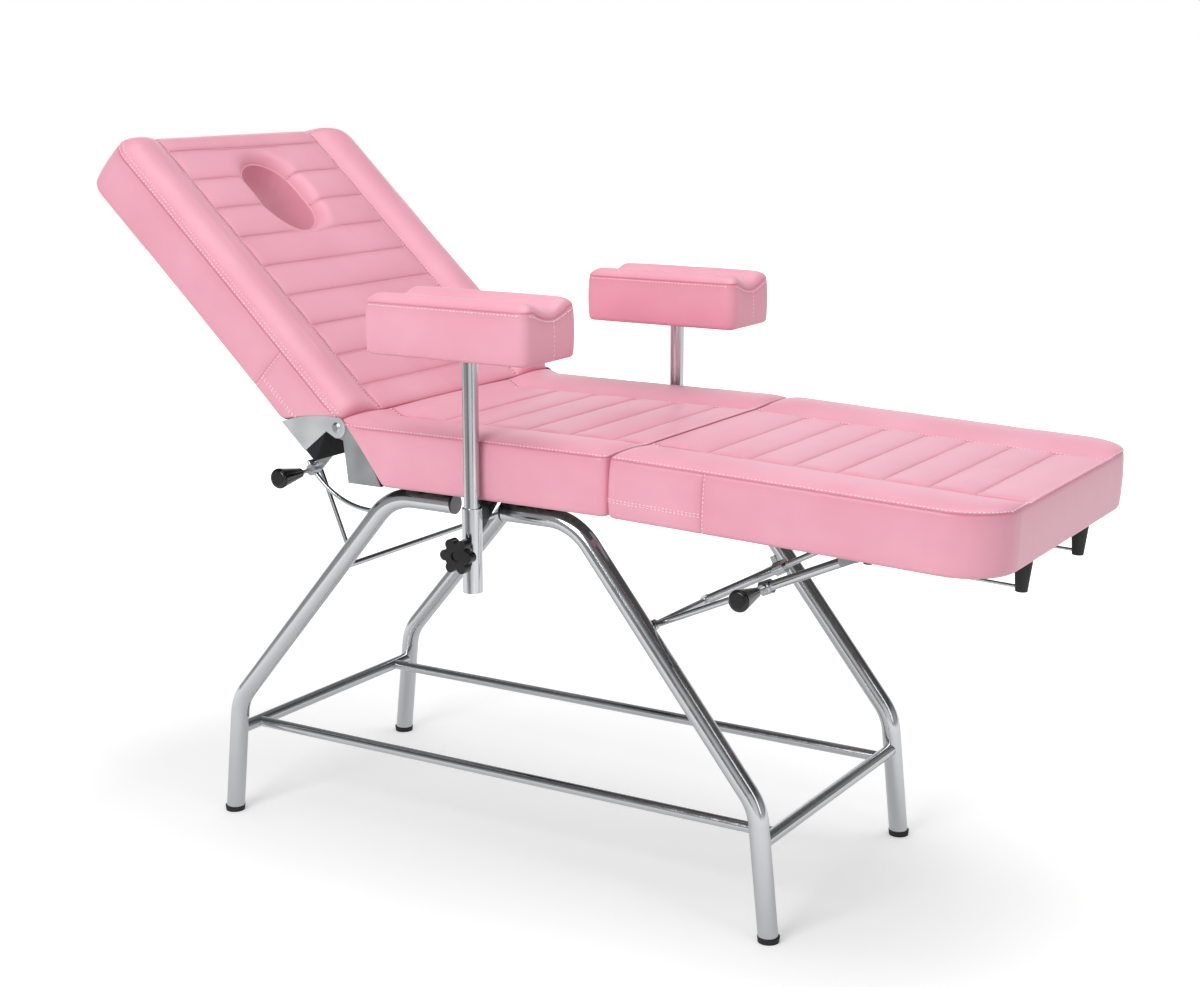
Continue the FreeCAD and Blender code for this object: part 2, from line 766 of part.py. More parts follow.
def make_seat():
    hinge_z = -dim.hinge_below_seam
    side = plate_side_points(1, hinge_z, seat_depth, dim.crest_rise, seat_far)
    seams = seam_places(dim.seat_channel_start, dim.seat_channel_pitch, SEAT_SEAM_COUNT,
                        (dim.plate_toe, seat_far - dim.rib_rise))
    cushion = cushion_shape(0, seat_far, seat_depth, dim.crest_rise, -dim.seat_groove_drop,
                            dim.seat_bolster_line, side, (dim.corner_radius / 2, dim.corner_radius), seams)
    board = board_points(dim.plate_reach, seat_far - dim.board_inset, dim.corner_radius, dim.corner_radius)
    cushion = cushion.cut(board_pocket(board, seat_depth))
    for tool in hinge_notch(Vector(0, 0, hinge_z)):
        cushion = cushion.cut(tool)
    make_board("seat_board", board, 0, seat_depth, seat_place)
    keep(feature("seat_pad_form", cushion, seat_place), "seat_cushion")
    hinge_place = at(hinge.x, 0, hinge.z)
    low = Vector(dim.plate_reach, 0, -hinge_drop)
    top = lobe_point(1, LOBE_TOP_DEGREES)
    shoulder = low + (top - low) * RAIL_SHOULDER_SHARE
    heel = dim.plate_toe + dim.plate_thickness
    make_rail_block("seat_end_rail", (Vector(heel, 0, -hinge_drop), low, shoulder,
                                      Vector(heel, 0, shoulder.z)), plate_inner - dim.plate_thickness / 2,
                    hinge_place)
    for side_name, side_sign in (("near", -1), ("far", 1)):
        make_plate("seat_plate_" + side_name, 1, hinge_drop, side_sign * plate_inner,
                   "Dims.rivet_radius", dim.rivet_radius, hinge_place)
    rivets = []
    inner_face = plate_inner - dim.plate_thickness / 2
    for name, side_sign in (("near", -1), ("far", 1)):
        outward = Vector(0, side_sign, 0)
        start = hinge + outward * (inner_face - dim.rivet_head_height)
        outer_start = hinge + outward * (dim.half_width + dim.plate_gap)
        tail = cylinder(name + "_rivet_tail", "Dims.rivet_head_radius", "Dims.rivet_head_height",
                        along(start, outward))
        shank = cylinder(name + "_rivet_shank", "Dims.rivet_radius",
                         "2 * Dims.plate_thickness + 2 * Dims.plate_gap + 2 * Dims.rivet_head_height",
                         along(start, outward))
        head = cone(name + "_rivet_head", "Dims.rivet_head_radius", "Dims.rivet_head_radius / 2",
                    "Dims.rivet_head_height", along(outer_start, outward))
        rivets.append(fuse(name + "_rivet", [tail, shank, head]))
    keep(group("rivet_group", rivets), "hinge_rivets")


# Backrest: cushion with its face hole, board, end rail and moving hinge plates
def make_backrest():
    rise = dim.back_seam_rise
    far_x = -dim.back_length
    side = plate_side_points(-1, -rise, dim.back_depth, dim.back_crest_rise, far_x)
    seams = [-x for x in seam_places(dim.back_channel_start, dim.back_channel_pitch, BACK_SEAM_COUNT,
                                     (dim.plate_toe, dim.back_length - dim.rib_rise))]
    seams.reverse()
    cushion = cushion_shape(far_x, 0, dim.back_depth, dim.back_crest_rise, dim.back_groove_rise,
                            dim.back_bolster_line, side, (dim.back_corner_radius, dim.corner_radius / 2), seams)
    board = board_points(far_x + dim.board_inset, -dim.plate_reach, dim.back_corner_radius, dim.corner_radius)
    cushion = cushion.cut(board_pocket(board, dim.back_depth))
    wall = 2 * dim.liner_thickness
    hole_outer = slot_points(-dim.face_hole_centre, dim.face_hole_length + wall, dim.face_hole_width + wall)
    hole_inner = slot_points(-dim.face_hole_centre, dim.face_hole_length, dim.face_hole_width)
    height = dim.back_depth + dim.back_crest_rise + 2 * dim.overrun
    tool = prism(hole_outer, UP * height)
    tool.translate(Vector(0, 0, -dim.back_depth - dim.overrun))
    cushion = cushion.cut(tool)
    for notch in hinge_notch(Vector(0, 0, -rise)):
        cushion = cushion.cut(notch)
    make_board("back_board", board, rise, dim.back_depth, back_place, (hole_outer,))
    seam_place = back_place.multiply(at(0, 0, rise))
    keep(feature("back_pad_form", cushion, seam_place), "back_cushion")
    liner_height = dim.back_depth + dim.back_groove_rise + dim.liner_thickness
    liner = prism(hole_outer, UP * liner_height).cut(prism(hole_inner, UP * liner_height))
    keep(feature("liner_form", liner, back_place.multiply(at(0, 0, rise - dim.back_depth))), "face_hole_liner")
    low = Vector(-dim.plate_reach, 0, -back_rear)
    top = lobe_point(-1, LOBE_TOP_DEGREES)
    shoulder = low + (top - low) * RAIL_SHOULDER_SHARE
    notch = [Vector(-share_x * dim.plate_lobe_radius, 0, -share_z * dim.plate_lobe_radius)
             for share_x, share_z in RAIL_NOTCH_SHARES]
    make_rail_block("back_end_rail", (Vector(dim.rail_toe, 0, -back_rear), low, shoulder, notch[0], notch[1]),
                    plate_outer - dim.plate_thickness / 2, back_place)
    for side_name, side_sign in (("near", -1), ("far", 1)):
        make_plate("back_plate_" + side_name, -1, back_rear, side_sign * plate_outer,
                   "Dims.rivet_radius + Dims.fit_clearance", dim.rivet_radius + dim.fit_clearance, back_place)


# Backrest lock: arc rail, prop, hub on its arm, clamp screw and handle
def arc_point(radius, degrees, y):
    angle = math.radians(degrees)
    return Vector(hinge.x + radius * math.cos(angle), y, hinge.z + radius * math.sin(angle))


def arc_torus(name, radius, sweep, start_degrees):
    ring = doc.addObject("Part::Torus", name)
    ring.setExpression("Radius1", "Dims.lock_arc_radius")
    bind(ring, "Radius2", radius)
    ring.Angle3 = sweep
    turn = Rotation(EAST, 90).multiply(Rotation(UP, start_degrees))
    ring.Placement = Placement(Vector(hinge.x, -lock_plane, hinge.z), turn)
    return ring


def make_handle(label, start, direction):
    """A tapered plastic grip, turned about its own screw."""
    body = new_body(label, along(start, direction))
    sketch = sketch_on(body, label + "_profile", "XZ_Plane")
    tip = dim.handle_tip_radius
    end = dim.handle_end_radius
    length = dim.handle_length
    bend = dim.handle_round
    share = 1 - math.sqrt(0.5)
    points = (
        Vector(0, 0, 0),
        Vector(tip * HANDLE_NECK_SHARE, 0, 0),
        (Vector(tip * HANDLE_SHOULDER_SHARES[0], bend * HANDLE_SHOULDER_SHARES[1], 0), Vector(tip, bend, 0)),
        Vector(end, length - bend, 0),
        (Vector(end - share * bend, length - share * bend, 0), Vector(end - bend, length, 0)),
        Vector(0, length, 0),
    )
    sketch.addGeometry(outline(points), False)
    turned = body.newObject("PartDesign::Revolution", label + "_turned")
    turned.Profile = sketch
    turned.ReferenceAxis = (sketch, ["V_Axis"])
    turned.Angle = 360
    keep(body, label)


def make_lock():
    plane = -lock_plane
    sweep = dim.lock_low_angle - dim.lock_top_angle
    top = arc_point(dim.lock_arc_radius, dim.lock_top_angle, plane)
    low = arc_point(dim.lock_arc_radius, dim.lock_low_angle, plane)
    prop_top = Vector(top.x, -prop_plane, top.z)
    prop_foot = Vector(head_rod_x, -prop_plane, dim.head_rod_height)
    pieces = [arc_torus("rail_arc", "Dims.lock_rail_radius", sweep, dim.lock_top_angle)]
    for name, corner, direction, length in (
        ("rail_top", top, NORTH, lock_plane - prop_plane),
        ("rail_low", low, -NORTH, dim.lock_inset),
    ):
        ball = doc.addObject("Part::Sphere", name + "_bend")
        ball.setExpression("Radius", "Dims.lock_rail_radius")
        ball.Placement = at(corner.x, corner.y, corner.z)
        pieces.append(ball)
        pieces.append(cylinder(name + "_stub", "Dims.lock_rail_radius", length, along(corner, direction)))
    prop_run = prop_top - prop_foot
    reach = (prop_run.Length + dim.lock_rail_radius) / prop_run.Length
    prop = cylinder("prop_blank", "Dims.lock_rail_radius", prop_run.Length * reach, along(prop_foot, prop_run))
    prop_tool = cylinder("prop_cope", "Dims.lock_rail_radius", prop_run.Length * reach, along(prop_foot, prop_run))
    leg_tool = slant_cutter("rail_leg_cope", head_foot_x, 1, -1, dim.head_bend_inset)
    keep(cut("rail_cut", fuse("rail_rod", pieces), [prop_tool, leg_tool]), "lock_rail")
    rod_tool = cross_member("prop_rod_cope", "Dims.mid_rod_radius", head_rod_x, dim.head_rod_height)
    keep(cut("prop_cut", prop, [rod_tool]), "lock_prop")

    hub_at = arc_point(dim.lock_arc_radius, dim.lock_rest_angle, plane)
    inner = hub_at + NORTH * dim.hub_half_length
    hub = cylinder("hub_blank", "Dims.hub_radius", "2 * Dims.hub_half_length", along(inner, -NORTH))
    bore = arc_torus("hub_bore", "Dims.lock_rail_radius + Dims.fit_clearance", dim.lock_low_angle
                     - dim.lock_top_angle, dim.lock_top_angle)
    tap = cylinder("hub_tap", "Dims.screw_radius + Dims.fit_clearance", "Dims.overrun", along(hub_at, -NORTH))
    keep(cut("hub_cut", hub, [bore, tap]), "lock_hub")

    local = back_place.inverse().multVec(inner)
    blade = box("arm_blade", "2 * Dims.arm_half_width", "Dims.arm_thickness", -back_rear - local.z,
                back_place.multiply(at(local.x - dim.arm_half_width, local.y, local.z)))
    tip = cylinder("arm_tip", "Dims.arm_half_width", "Dims.arm_thickness", along(inner, NORTH))
    foot = box("arm_foot", "Dims.arm_foot_length", "6 * Dims.arm_thickness", "Dims.arm_thickness",
               back_place.multiply(at(local.x - dim.arm_foot_length / 2, local.y, -back_rear - dim.arm_thickness)))
    keep(fuse("arm_weldment", [blade, tip, foot]), "lock_arm")

    screw_start = hub_at - NORTH * (dim.lock_rail_radius + dim.plate_gap)
    handle_start = hub_at - NORTH * (dim.hub_half_length + dim.handle_gap)
    keep(cylinder("lock_screw_rod", "Dims.screw_radius", (handle_start - screw_start).Length,
                  along(screw_start, -NORTH)), "lock_screw")
    make_handle("lock_handle", handle_start, -NORTH)


# Leg rest: cushion, board, folding hinges, stub feet and side rods
def leg_side_points():
    length = dim.leg_rest_length
    lid = dim.crest_rise + dim.side_belly
    roll = dim.end_roll
    return (
        Vector(0, 0, 0),
        (Vector(ROLL_SHARES[0] * roll, 0, ROLL_SHARES[1] * lid), Vector(roll, 0, lid)),
        Vector(length - roll, 0, lid),
        (Vector(length - ROLL_SHARES[0] * roll, 0, ROLL_SHARES[1] * lid), Vector(length, 0, 0)),
        Vector(length, 0, -seat_depth),
        Vector(0, 0, -seat_depth),
    )


def make_leg_rest():
    length = dim.leg_rest_length
    border = length - dim.leg_border
    seams = seam_places(dim.leg_channel_start, dim.leg_channel_pitch, LEG_SEAM_COUNT,
                        (dim.rib_rise, border))
    side = leg_side_points()
    radii = (dim.corner_radius, dim.leg_corner_radius)
    cushion = cushion_shape(0, length, seat_depth, dim.crest_rise, -dim.leg_groove_drop,
                            dim.seat_bolster_line, side, radii, seams)
    crown_end = length - dim.corner_radius
    crown_y = dim.half_width - dim.leg_corner_radius
    crown = prism((Vector(border, 0, -dim.leg_groove_drop),
                   (Vector((border + crown_end) / 2, 0, BORDER_CREST_SHARE * dim.crest_rise),
                    Vector(crown_end, 0, 0)),
                   Vector(crown_end, 0, -seat_depth / 2), Vector(border, 0, -seat_depth / 2)),
                  NORTH * 2 * crown_y)
    crown.translate(Vector(0, -crown_y, 0))
    cushion = cushion.fuse(crown).removeSplitter()
    board = board_points(dim.board_inset, length - dim.board_inset, dim.corner_radius,
                         dim.leg_corner_radius - dim.board_inset / 2)
    cushion = cushion.cut(board_pocket(board, seat_depth))
    make_board("leg_board", board, 0, seat_depth, leg_place)
    keep(feature("leg_pad_form", cushion, leg_place), "leg_cushion")


def leaf_shape(sign, height, gap, own, others):
    """One hinge leaf with its knuckles, round an axis along y at the origin."""
    width = dim.hinge_leaf_width
    leaf = Part.makeBox(dim.hinge_leaf_length - gap, width, dim.hinge_leaf_thickness,
                        Vector(gap, -width / 2, height - dim.hinge_leaf_thickness))
    if sign < 0:
        leaf = leaf.mirror(Vector(0, 0, 0), EAST)
    for low, high in own:
        leaf = leaf.fuse(Part.makeCylinder(dim.hinge_barrel_radius, (high - low) * width - dim.plate_gap,
                                           Vector(0, (low - 0.5) * width, 0), NORTH))
    for low, high in others:
        leaf = leaf.cut(Part.makeCylinder(dim.hinge_barrel_radius + dim.plate_gap, (high - low) * width,
                                          Vector(0, (low - 0.5) * width - dim.plate_gap / 2, 0), NORTH))
    slack = dim.fit_clearance if sign > 0 else 0
    bore = Part.makeCylinder(dim.hinge_pin_radius + slack, 2 * width, Vector(0, -width, 0), NORTH)
    return leaf.cut(bore)


def make_leg_hinges():
    outer = ((KNUCKLE_SHARES[0], KNUCKLE_SHARES[1]), (KNUCKLE_SHARES[2], KNUCKLE_SHARES[3]))
    inner = ((KNUCKLE_SHARES[1], KNUCKLE_SHARES[2]),)
    drop = leg_joint - leg_hinge
    leg_gap = 2 * dim.plate_gap
    leg_height = Vector(math.sin(tilt), 0, math.cos(tilt)).dot(drop) - seat_depth
    seat_leaves = []
    leg_leaves = []
    pins = []
    for name, side in (("near", -1), ("far", 1)):
        y = side * dim.leg_hinge_half_width
        place = at(leg_hinge.x, y, leg_hinge.z)
        seat_leaves.append(feature(name + "_seat_leaf", leaf_shape(-1, seat_bottom - leg_hinge.z, 0,
                                                                   outer, inner), place))
        leg_leaves.append(feature(name + "_leg_leaf", leaf_shape(1, leg_height, leg_gap, inner, outer),
                                  at(leg_hinge.x, y, leg_hinge.z, NORTH, dim.leg_rest_tilt)))
        pin = cylinder(name + "_leg_pin", "Dims.hinge_pin_radius", "Dims.hinge_leaf_width",
                       along(Vector(leg_hinge.x, y - dim.hinge_leaf_width / 2, leg_hinge.z), NORTH))
        pins.append(pin)
    keep(group("seat_leaf_group", seat_leaves), "seat_hinge_leaves")
    keep(group("leg_leaf_group", leg_leaves), "leg_hinge_leaves")
    keep(group("leg_pin_group", pins), "leg_hinge_pins")


def make_stub_feet():
    stubs = []
    blocks = []
    rods = []
    for name, side in (("near", -1), ("far", 1)):
        y = side * dim.stub_half_width
        down = leg_place.Rotation.multVec(-UP)
        stub_top = leg_place.multVec(Vector(dim.stub_station, y, -seat_depth))
        block_top = leg_place.multVec(Vector(dim.block_station, y, -seat_depth))
        stub = cone(name + "_stub_blank", "Dims.stub_top_radius", "Dims.stub_tip_radius", "Dims.stub_height",
                    along(stub_top, down))
        block = cone(name + "_block_blank", "Dims.stub_tip_radius", BLOCK_TAPER_SHARE * dim.stub_tip_radius,
                     "Dims.stub_height", along(block_top, down))
        start = leg_place.multVec(Vector(dim.block_station, y, -seat_depth - dim.side_rod_drop))
        run = leg_place.Rotation.multVec(EAST)
        span = dim.stub_station - dim.block_station
        tools = [cylinder("%s_rod_socket_%d" % (name, index), "Dims.side_rod_radius", span, along(start, run))
                 for index in (0, 1)]
        stubs.append(cut(name + "_stub", stub, [tools[0]]))
        blocks.append(cut(name + "_block", block, [tools[1]]))
        rods.append(cylinder(name + "_side_rod", "Dims.side_rod_radius", span, along(start, run)))
    keep(group("stub_group", stubs), "stub_feet")
    keep(group("block_group", blocks), "rod_blocks")
    keep(group("side_rod_group", rods), "side_rods")


# Telescopic stays, each laid out along its own axis from the foot mid rod
def stay_frame(plane, station, drop):
    """A placement with +X along the stay, its length and its lug's place."""
    low = Vector(foot_rod_x, -plane, dim.foot_rod_height)
    high = leg_place.multVec(Vector(station, -plane, -drop))
    run = high - low
    angle = math.degrees(math.atan2(run.z, run.x))
    return Placement(low, Rotation(NORTH, -angle)), run.Length, high


near_frame, near_length, near_top = stay_frame(dim.leg_half_width - dim.near_stay_inset, dim.near_stay_station,
                                               dim.near_stay_drop)
centre_frame, centre_length, centre_top = stay_frame(dim.centre_stay_plane, dim.centre_stay_station,
                                                     dim.centre_stay_drop)


def stay_bar(name, radius, low, high, frame):
    turn = Rotation(NORTH, 90)
    return cylinder(name, radius, high - low, frame.multiply(Placement(Vector(low, 0, 0), turn)))


def stay_eye(name, radius, width, frame):
    return cylinder(name, radius, width, frame.multiply(Placement(Vector(0, -width / 2, 0), Rotation(EAST, -90))))


def stay_tongue(name, length, frame):
    """The flattened top end beside the lug."""
    half = dim.tongue_thickness / 2
    radius = dim.stay_tube_radius
    strap = box(name + "_strap", "Dims.tongue_length", "Dims.tongue_thickness", 2 * radius,
                frame.multiply(at(length - dim.tongue_length, -half, -radius)))
    nose = cylinder(name + "_nose", radius, "Dims.tongue_thickness",
                    frame.multiply(Placement(Vector(length, -half, 0), Rotation(EAST, -90))))
    return [strap, nose]


def lug_shape():
    """A lug under the leg rest, its eye at the origin and its foot on the underside."""
    rise = dim.near_stay_drop - seat_depth
    radius = dim.lug_radius
    wing = LUG_WING_SHARE * radius
    points = (
        Vector(-wing, 0, rise),
        Vector(-radius, 0, 0),
        (Vector(0, 0, -radius), Vector(radius, 0, 0)),
        Vector(wing, 0, rise),
    )
    ear = prism(points, NORTH * dim.lug_thickness)
    foot = Part.makeBox(2 * wing, 2 * radius, dim.lug_thickness, Vector(-wing, 0, rise - dim.lug_thickness))
    return ear.fuse(foot)


def make_stays():
    bore = "Dims.stay_rod_radius + Dims.fit_clearance"
    eye_bore = "Dims.mid_rod_radius + Dims.fit_clearance"

    reach = dim.near_collar_reach
    collar_end = reach + dim.collar_length
    eye = stay_eye("near_eye", "Dims.stay_eye_radius", dim.stay_eye_width, near_frame)
    rod = stay_bar("near_rod_blank", "Dims.stay_rod_radius", 0, reach + dim.stay_overlap, near_frame)
    hole = stay_eye("near_eye_bore", eye_bore, dim.overrun, near_frame)
    keep(cut("near_rod_cut", fuse("near_rod_weldment", [eye, rod]), [hole]), "near_stay_rod")
    tube_end = near_length - dim.tongue_length + dim.stay_eye_radius
    tube = stay_bar("near_tube_blank", "Dims.stay_tube_radius", collar_end, tube_end, near_frame)
    tube_bore = stay_bar("near_tube_bore", bore, collar_end, tube_end - dim.tongue_thickness / 2, near_frame)
    shell = cut("near_tube_shell", tube, [tube_bore])
    nose = cut("near_tongue_cut", fuse("near_tongue_blank", stay_tongue("near_tongue", near_length, near_frame)),
               [stay_bar("near_tongue_bore", bore, collar_end, tube_end - dim.tongue_thickness / 2, near_frame)])
    keep(fuse("near_tube_weldment", [shell, nose]), "near_stay_tube")

    collar_mid = near_frame.multVec(Vector(reach + dim.collar_length / 2, 0, 0))
    ring = stay_bar("near_collar_blank", "Dims.collar_radius", reach, collar_end, near_frame)
    boss = cylinder("near_boss", "Dims.boss_radius", "Dims.collar_radius + Dims.boss_height",
                    along(collar_mid, -NORTH))
    ring_bore = stay_bar("near_collar_bore", bore, reach, collar_end, near_frame)
    tap = cylinder("near_boss_tap", "Dims.screw_radius + Dims.fit_clearance", "2 * Dims.overrun",
                   along(collar_mid, -NORTH))
    keep(cut("near_collar_cut", fuse("near_collar_weldment", [ring, boss]), [ring_bore, tap]), "near_stay_collar")
    screw_start = collar_mid - NORTH * (dim.stay_rod_radius + dim.plate_gap)
    handle_start = collar_mid - NORTH * (dim.collar_radius + dim.boss_height + dim.handle_gap - dim.hub_half_length)
    keep(cylinder("stay_screw_rod", "Dims.screw_radius", (handle_start - screw_start).Length,
                  along(screw_start, -NORTH)), "stay_screw")
    make_handle("stay_handle", handle_start, -NORTH)

    reach = dim.centre_collar_reach
    collar_end = reach + dim.collar_length
    eye = stay_eye("centre_eye", "Dims.stay_eye_radius", dim.stay_eye_width, centre_frame)
    tube = stay_bar("centre_tube_blank", "Dims.stay_tube_radius", 0, reach, centre_frame)
    hole = stay_eye("centre_eye_bore", eye_bore, dim.overrun, centre_frame)
    tube_bore = stay_bar("centre_tube_bore", bore, dim.stay_eye_radius + dim.liner_thickness / 2, reach,
                         centre_frame)
    keep(cut("centre_tube_cut", fuse("centre_tube_weldment", [eye, tube]), [hole, tube_bore]), "centre_stay_tube")
    ring = stay_bar("centre_collar_blank", "Dims.collar_radius", reach, collar_end, centre_frame)
    wing = box("centre_collar_wing", "Dims.collar_length / 2", "Dims.tongue_thickness", "2 * Dims.collar_radius",
               centre_frame.multiply(at(reach, -dim.tongue_thickness / 2, 0)))
    ring_bore = stay_bar("centre_collar_bore", bore, reach, collar_end, centre_frame)
    keep(cut("centre_collar_cut", fuse("centre_collar_weldment", [ring, wing]), [ring_bore]), "centre_stay_collar")
    rod = stay_bar("centre_rod_blank", "Dims.stay_rod_radius", reach - dim.boss_height,
                   centre_length - dim.tongue_length + dim.stay_eye_radius, centre_frame)
    keep(fuse("centre_rod_weldment", [rod] + stay_tongue("centre_tongue", centre_length, centre_frame)),
         "centre_stay_rod")

    lugs = []
    for name, top in (("near", near_top), ("centre", centre_top)):
        offset = dim.tongue_thickness / 2 + dim.lug_gap
        lugs.append(feature(name + "_lug", lug_shape(),
                            Placement(top + NORTH * offset, Rotation(NORTH, dim.leg_rest_tilt))))
    keep(group("lug_group", lugs), "stay_lugs")


# Armrests: sleeves, brackets, posts, swivelling pads and clamp knobs
def make_armrest(side_name, side, pad_height):
    y = side * dim.post_half_width
    outward = Vector(0, side, 0)
    knob_axis = Vector(post_x, y, dim.knob_height)
    sleeve_low = dim.sleeve_top - dim.sleeve_length
    tube = cylinder(side_name + "_sleeve_blank", "Dims.sleeve_radius", "Dims.sleeve_length",
                    at(post_x, y, sleeve_low))
    boss = cylinder(side_name + "_sleeve_boss", "Dims.knob_neck_radius", "Dims.sleeve_radius + Dims.boss_height",
                    along(knob_axis, outward))
    bore = cylinder(side_name + "_sleeve_bore", "Dims.post_radius + Dims.fit_clearance", "Dims.sleeve_length",
                    at(post_x, y, sleeve_low))
    tap = cylinder(side_name + "_sleeve_tap", "Dims.bolt_radius + Dims.fit_clearance",
                   "2 * Dims.sleeve_radius", along(knob_axis, outward))
    keep(cut(side_name + "_sleeve_cut", fuse(side_name + "_sleeve_weldment", [tube, boss]), [bore, tap]),
         "arm_sleeve_" + side_name)

    post_top = pad_height - dim.pad_plate_thickness - dim.plate_gap
    post = cylinder(side_name + "_post_blank", "Dims.post_radius", "Dims.post_length",
                    at(post_x, y, post_top - dim.post_length))
    post_bore = cylinder(side_name + "_post_bore", "Dims.post_radius - Dims.post_wall", "Dims.post_length",
                         at(post_x, y, post_top - dim.post_length))
    keep(cut(side_name + "_post_tube", post, [post_bore]), "arm_post_" + side_name)

    plate = box(side_name + "_pad_base", "Dims.pad_plate_length", "Dims.pad_plate_width",
                "Dims.pad_plate_thickness",
                at(post_x - dim.pad_plate_length / 2, y - dim.pad_plate_width / 2,
                   pad_height - dim.pad_plate_thickness))
    spigot = cylinder(side_name + "_pad_spigot", "Dims.post_radius - Dims.post_wall - Dims.fit_clearance",
                      "Dims.spigot_length", along(Vector(post_x, y, pad_height - dim.pad_plate_thickness), -UP))
    keep(fuse(side_name + "_pad_mount", [plate, spigot]), "arm_plate_" + side_name)
    keep(feature(side_name + "_pad_form", arm_pad_shape(), at(post_x, y, pad_height)), "arm_pad_" + side_name)

    stud_start = knob_axis + outward * (dim.post_radius + dim.plate_gap)
    knob_start = knob_axis + outward * (dim.sleeve_radius + dim.boss_height + dim.lug_gap)
    keep(cylinder(side_name + "_knob_stud", "Dims.bolt_radius", (knob_start - stud_start).Length,
                  along(stud_start, outward)), "knob_stud_" + side_name)
    make_star_knob(side_name, knob_start, outward)


def arm_pad_shape():
    """An armrest pad: boxed walls, two crowned edges and a trough between them."""
    hw = dim.pad_width / 2
    half = dim.pad_length / 2
    seam = dim.pad_seam_rise
    crest_y = TROUGH_SHARE * hw
    low = hw - dim.pad_belly
    crest = seam + dim.pad_crown
    x = -half - dim.overrun
    section = prism((
        Vector(x, low, 0),
        (Vector(x, hw, seam / 2), Vector(x, hw - dim.pad_belly / 2, seam)),
        (Vector(x, CROWN_SHARE * hw, seam + CROWN_SHARE * dim.pad_crown), Vector(x, crest_y, crest)),
        (Vector(x, 0, crest - dim.pad_trough), Vector(x, -crest_y, crest)),
        (Vector(x, -CROWN_SHARE * hw, seam + CROWN_SHARE * dim.pad_crown), Vector(x, dim.pad_belly / 2 - hw, seam)),
        (Vector(x, -hw, seam / 2), Vector(x, -low, 0)),
    ), EAST * 2 * (half + dim.overrun))
    bend = (1 - math.sqrt(0.5)) * dim.pad_corner_radius
    radius = dim.pad_corner_radius
    draw = hw - dim.side_draw
    plan = prism((
        (Vector(half - bend, hw - bend, 0), Vector(half - radius, hw, 0)),
        (Vector(0, draw, 0), Vector(radius - half, hw, 0)),
        (Vector(bend - half, hw - bend, 0), Vector(-half, hw - radius, 0)),
        (Vector(dim.pad_belly - half, 0, 0), Vector(-half, radius - hw, 0)),
        (Vector(bend - half, bend - hw, 0), Vector(radius - half, -hw, 0)),
        (Vector(0, -draw, 0), Vector(half - radius, -hw, 0)),
        (Vector(half - bend, bend - hw, 0), Vector(half, radius - hw, 0)),
        (Vector(half - dim.pad_belly, 0, 0), Vector(half, hw - radius, 0)),
    ), UP * (crest + dim.overrun))
    return section.common(plan).removeSplitter()


def make_star_knob(side_name, start, outward):
    """A six-lobed clamp knob with a neck and a recessed cap."""
    name = "star_%s_" % side_name
    face = start + outward * dim.knob_neck_length
    neck = cylinder(name + "neck", "Dims.knob_neck_radius", "Dims.knob_neck_length", along(start, outward))
    disc = cylinder(name + "disc", dim.knob_reach * KNOB_VALLEY_SHARE, "Dims.knob_thickness", along(face, outward))
    lobes = []
    for index in range(KNOB_LOBES):
        angle = 2 * math.pi * index / KNOB_LOBES
        centre = face + Vector(math.cos(angle), 0, math.sin(angle)) * dim.knob_reach
        lobes.append(cylinder(name + "lobe_%d" % index, "Dims.knob_lobe_radius", "Dims.knob_thickness",
                              along(centre, outward)))
    recess = cylinder(name + "recess", "Dims.knob_recess_radius", "Dims.knob_recess_depth + Dims.overrun",
                      along(face + outward * (dim.knob_thickness - dim.knob_recess_depth), outward))
    keep(cut(name + "cut", fuse(name + "solid", [neck, disc] + lobes), [recess]), "star_knob_" + side_name)


def make_brackets():
    """Brackets that carry the armrest sleeves under the seat board."""
    brackets = []
    for name, side in (("near", -1), ("far", 1)):
        y = side * dim.post_half_width
        root = side * (dim.post_half_width - dim.sleeve_radius - dim.bracket_thickness)
        tip = root - side * dim.bracket_length
        low_y = min(root, tip)
        shelf = box(name + "_bracket_shelf", "Dims.bracket_width", "Dims.bracket_length",
                    "Dims.bracket_thickness",
                    at(post_x - dim.bracket_width / 2, low_y, seat_bottom - dim.bracket_thickness))
        shelf_z = seat_bottom - dim.bracket_thickness
        web = feature(name + "_bracket_web", prism((
            Vector(post_x - dim.bracket_thickness / 2, y, dim.sleeve_top - dim.gusset_height),
            Vector(post_x - dim.bracket_thickness / 2, y, dim.sleeve_top),
            Vector(post_x - dim.bracket_thickness / 2, root, shelf_z),
            Vector(post_x - dim.bracket_thickness / 2, tip + side * dim.bracket_width, shelf_z),
        ), EAST * dim.bracket_thickness))
        sleeve = cylinder(name + "_bracket_cope", "Dims.sleeve_radius", "Dims.sleeve_length + Dims.overrun",
                          at(post_x, y, dim.sleeve_top - dim.sleeve_length))
        brackets.append(cut(name + "_bracket", fuse(name + "_bracket_weldment", [shelf, web]), [sleeve]))
    keep(group("bracket_group", brackets), "sleeve_brackets")


make_frame()
make_crossbars()
make_spacers()
make_seat()
make_backrest()
make_lock()
make_leg_rest()
make_leg_hinges()
make_stub_feet()
make_stays()
make_brackets()
make_armrest("near", -1, seam_height + dim.near_pad_rise)
make_armrest("far", 1, seam_height + dim.far_pad_rise)
doc.recompute()

for item in doc.Objects:
    if "Invalid" in item.State or "Error" in item.State:
        raise RuntimeError("%s did not build: %s" % (item.Label, item.State))
os.makedirs("parts", exist_ok=True)
for item in PARTS:
    if item.Shape.isNull() or not item.Shape.isValid():
        raise RuntimeError("%s has no valid shape" % item.Label)
for item in PARTS:
    item.Shape.exportStep("parts/%s.step" % item.Label)
print("%d sub-parts, %.0f mm long" % (len(PARTS), high_x - low_x))
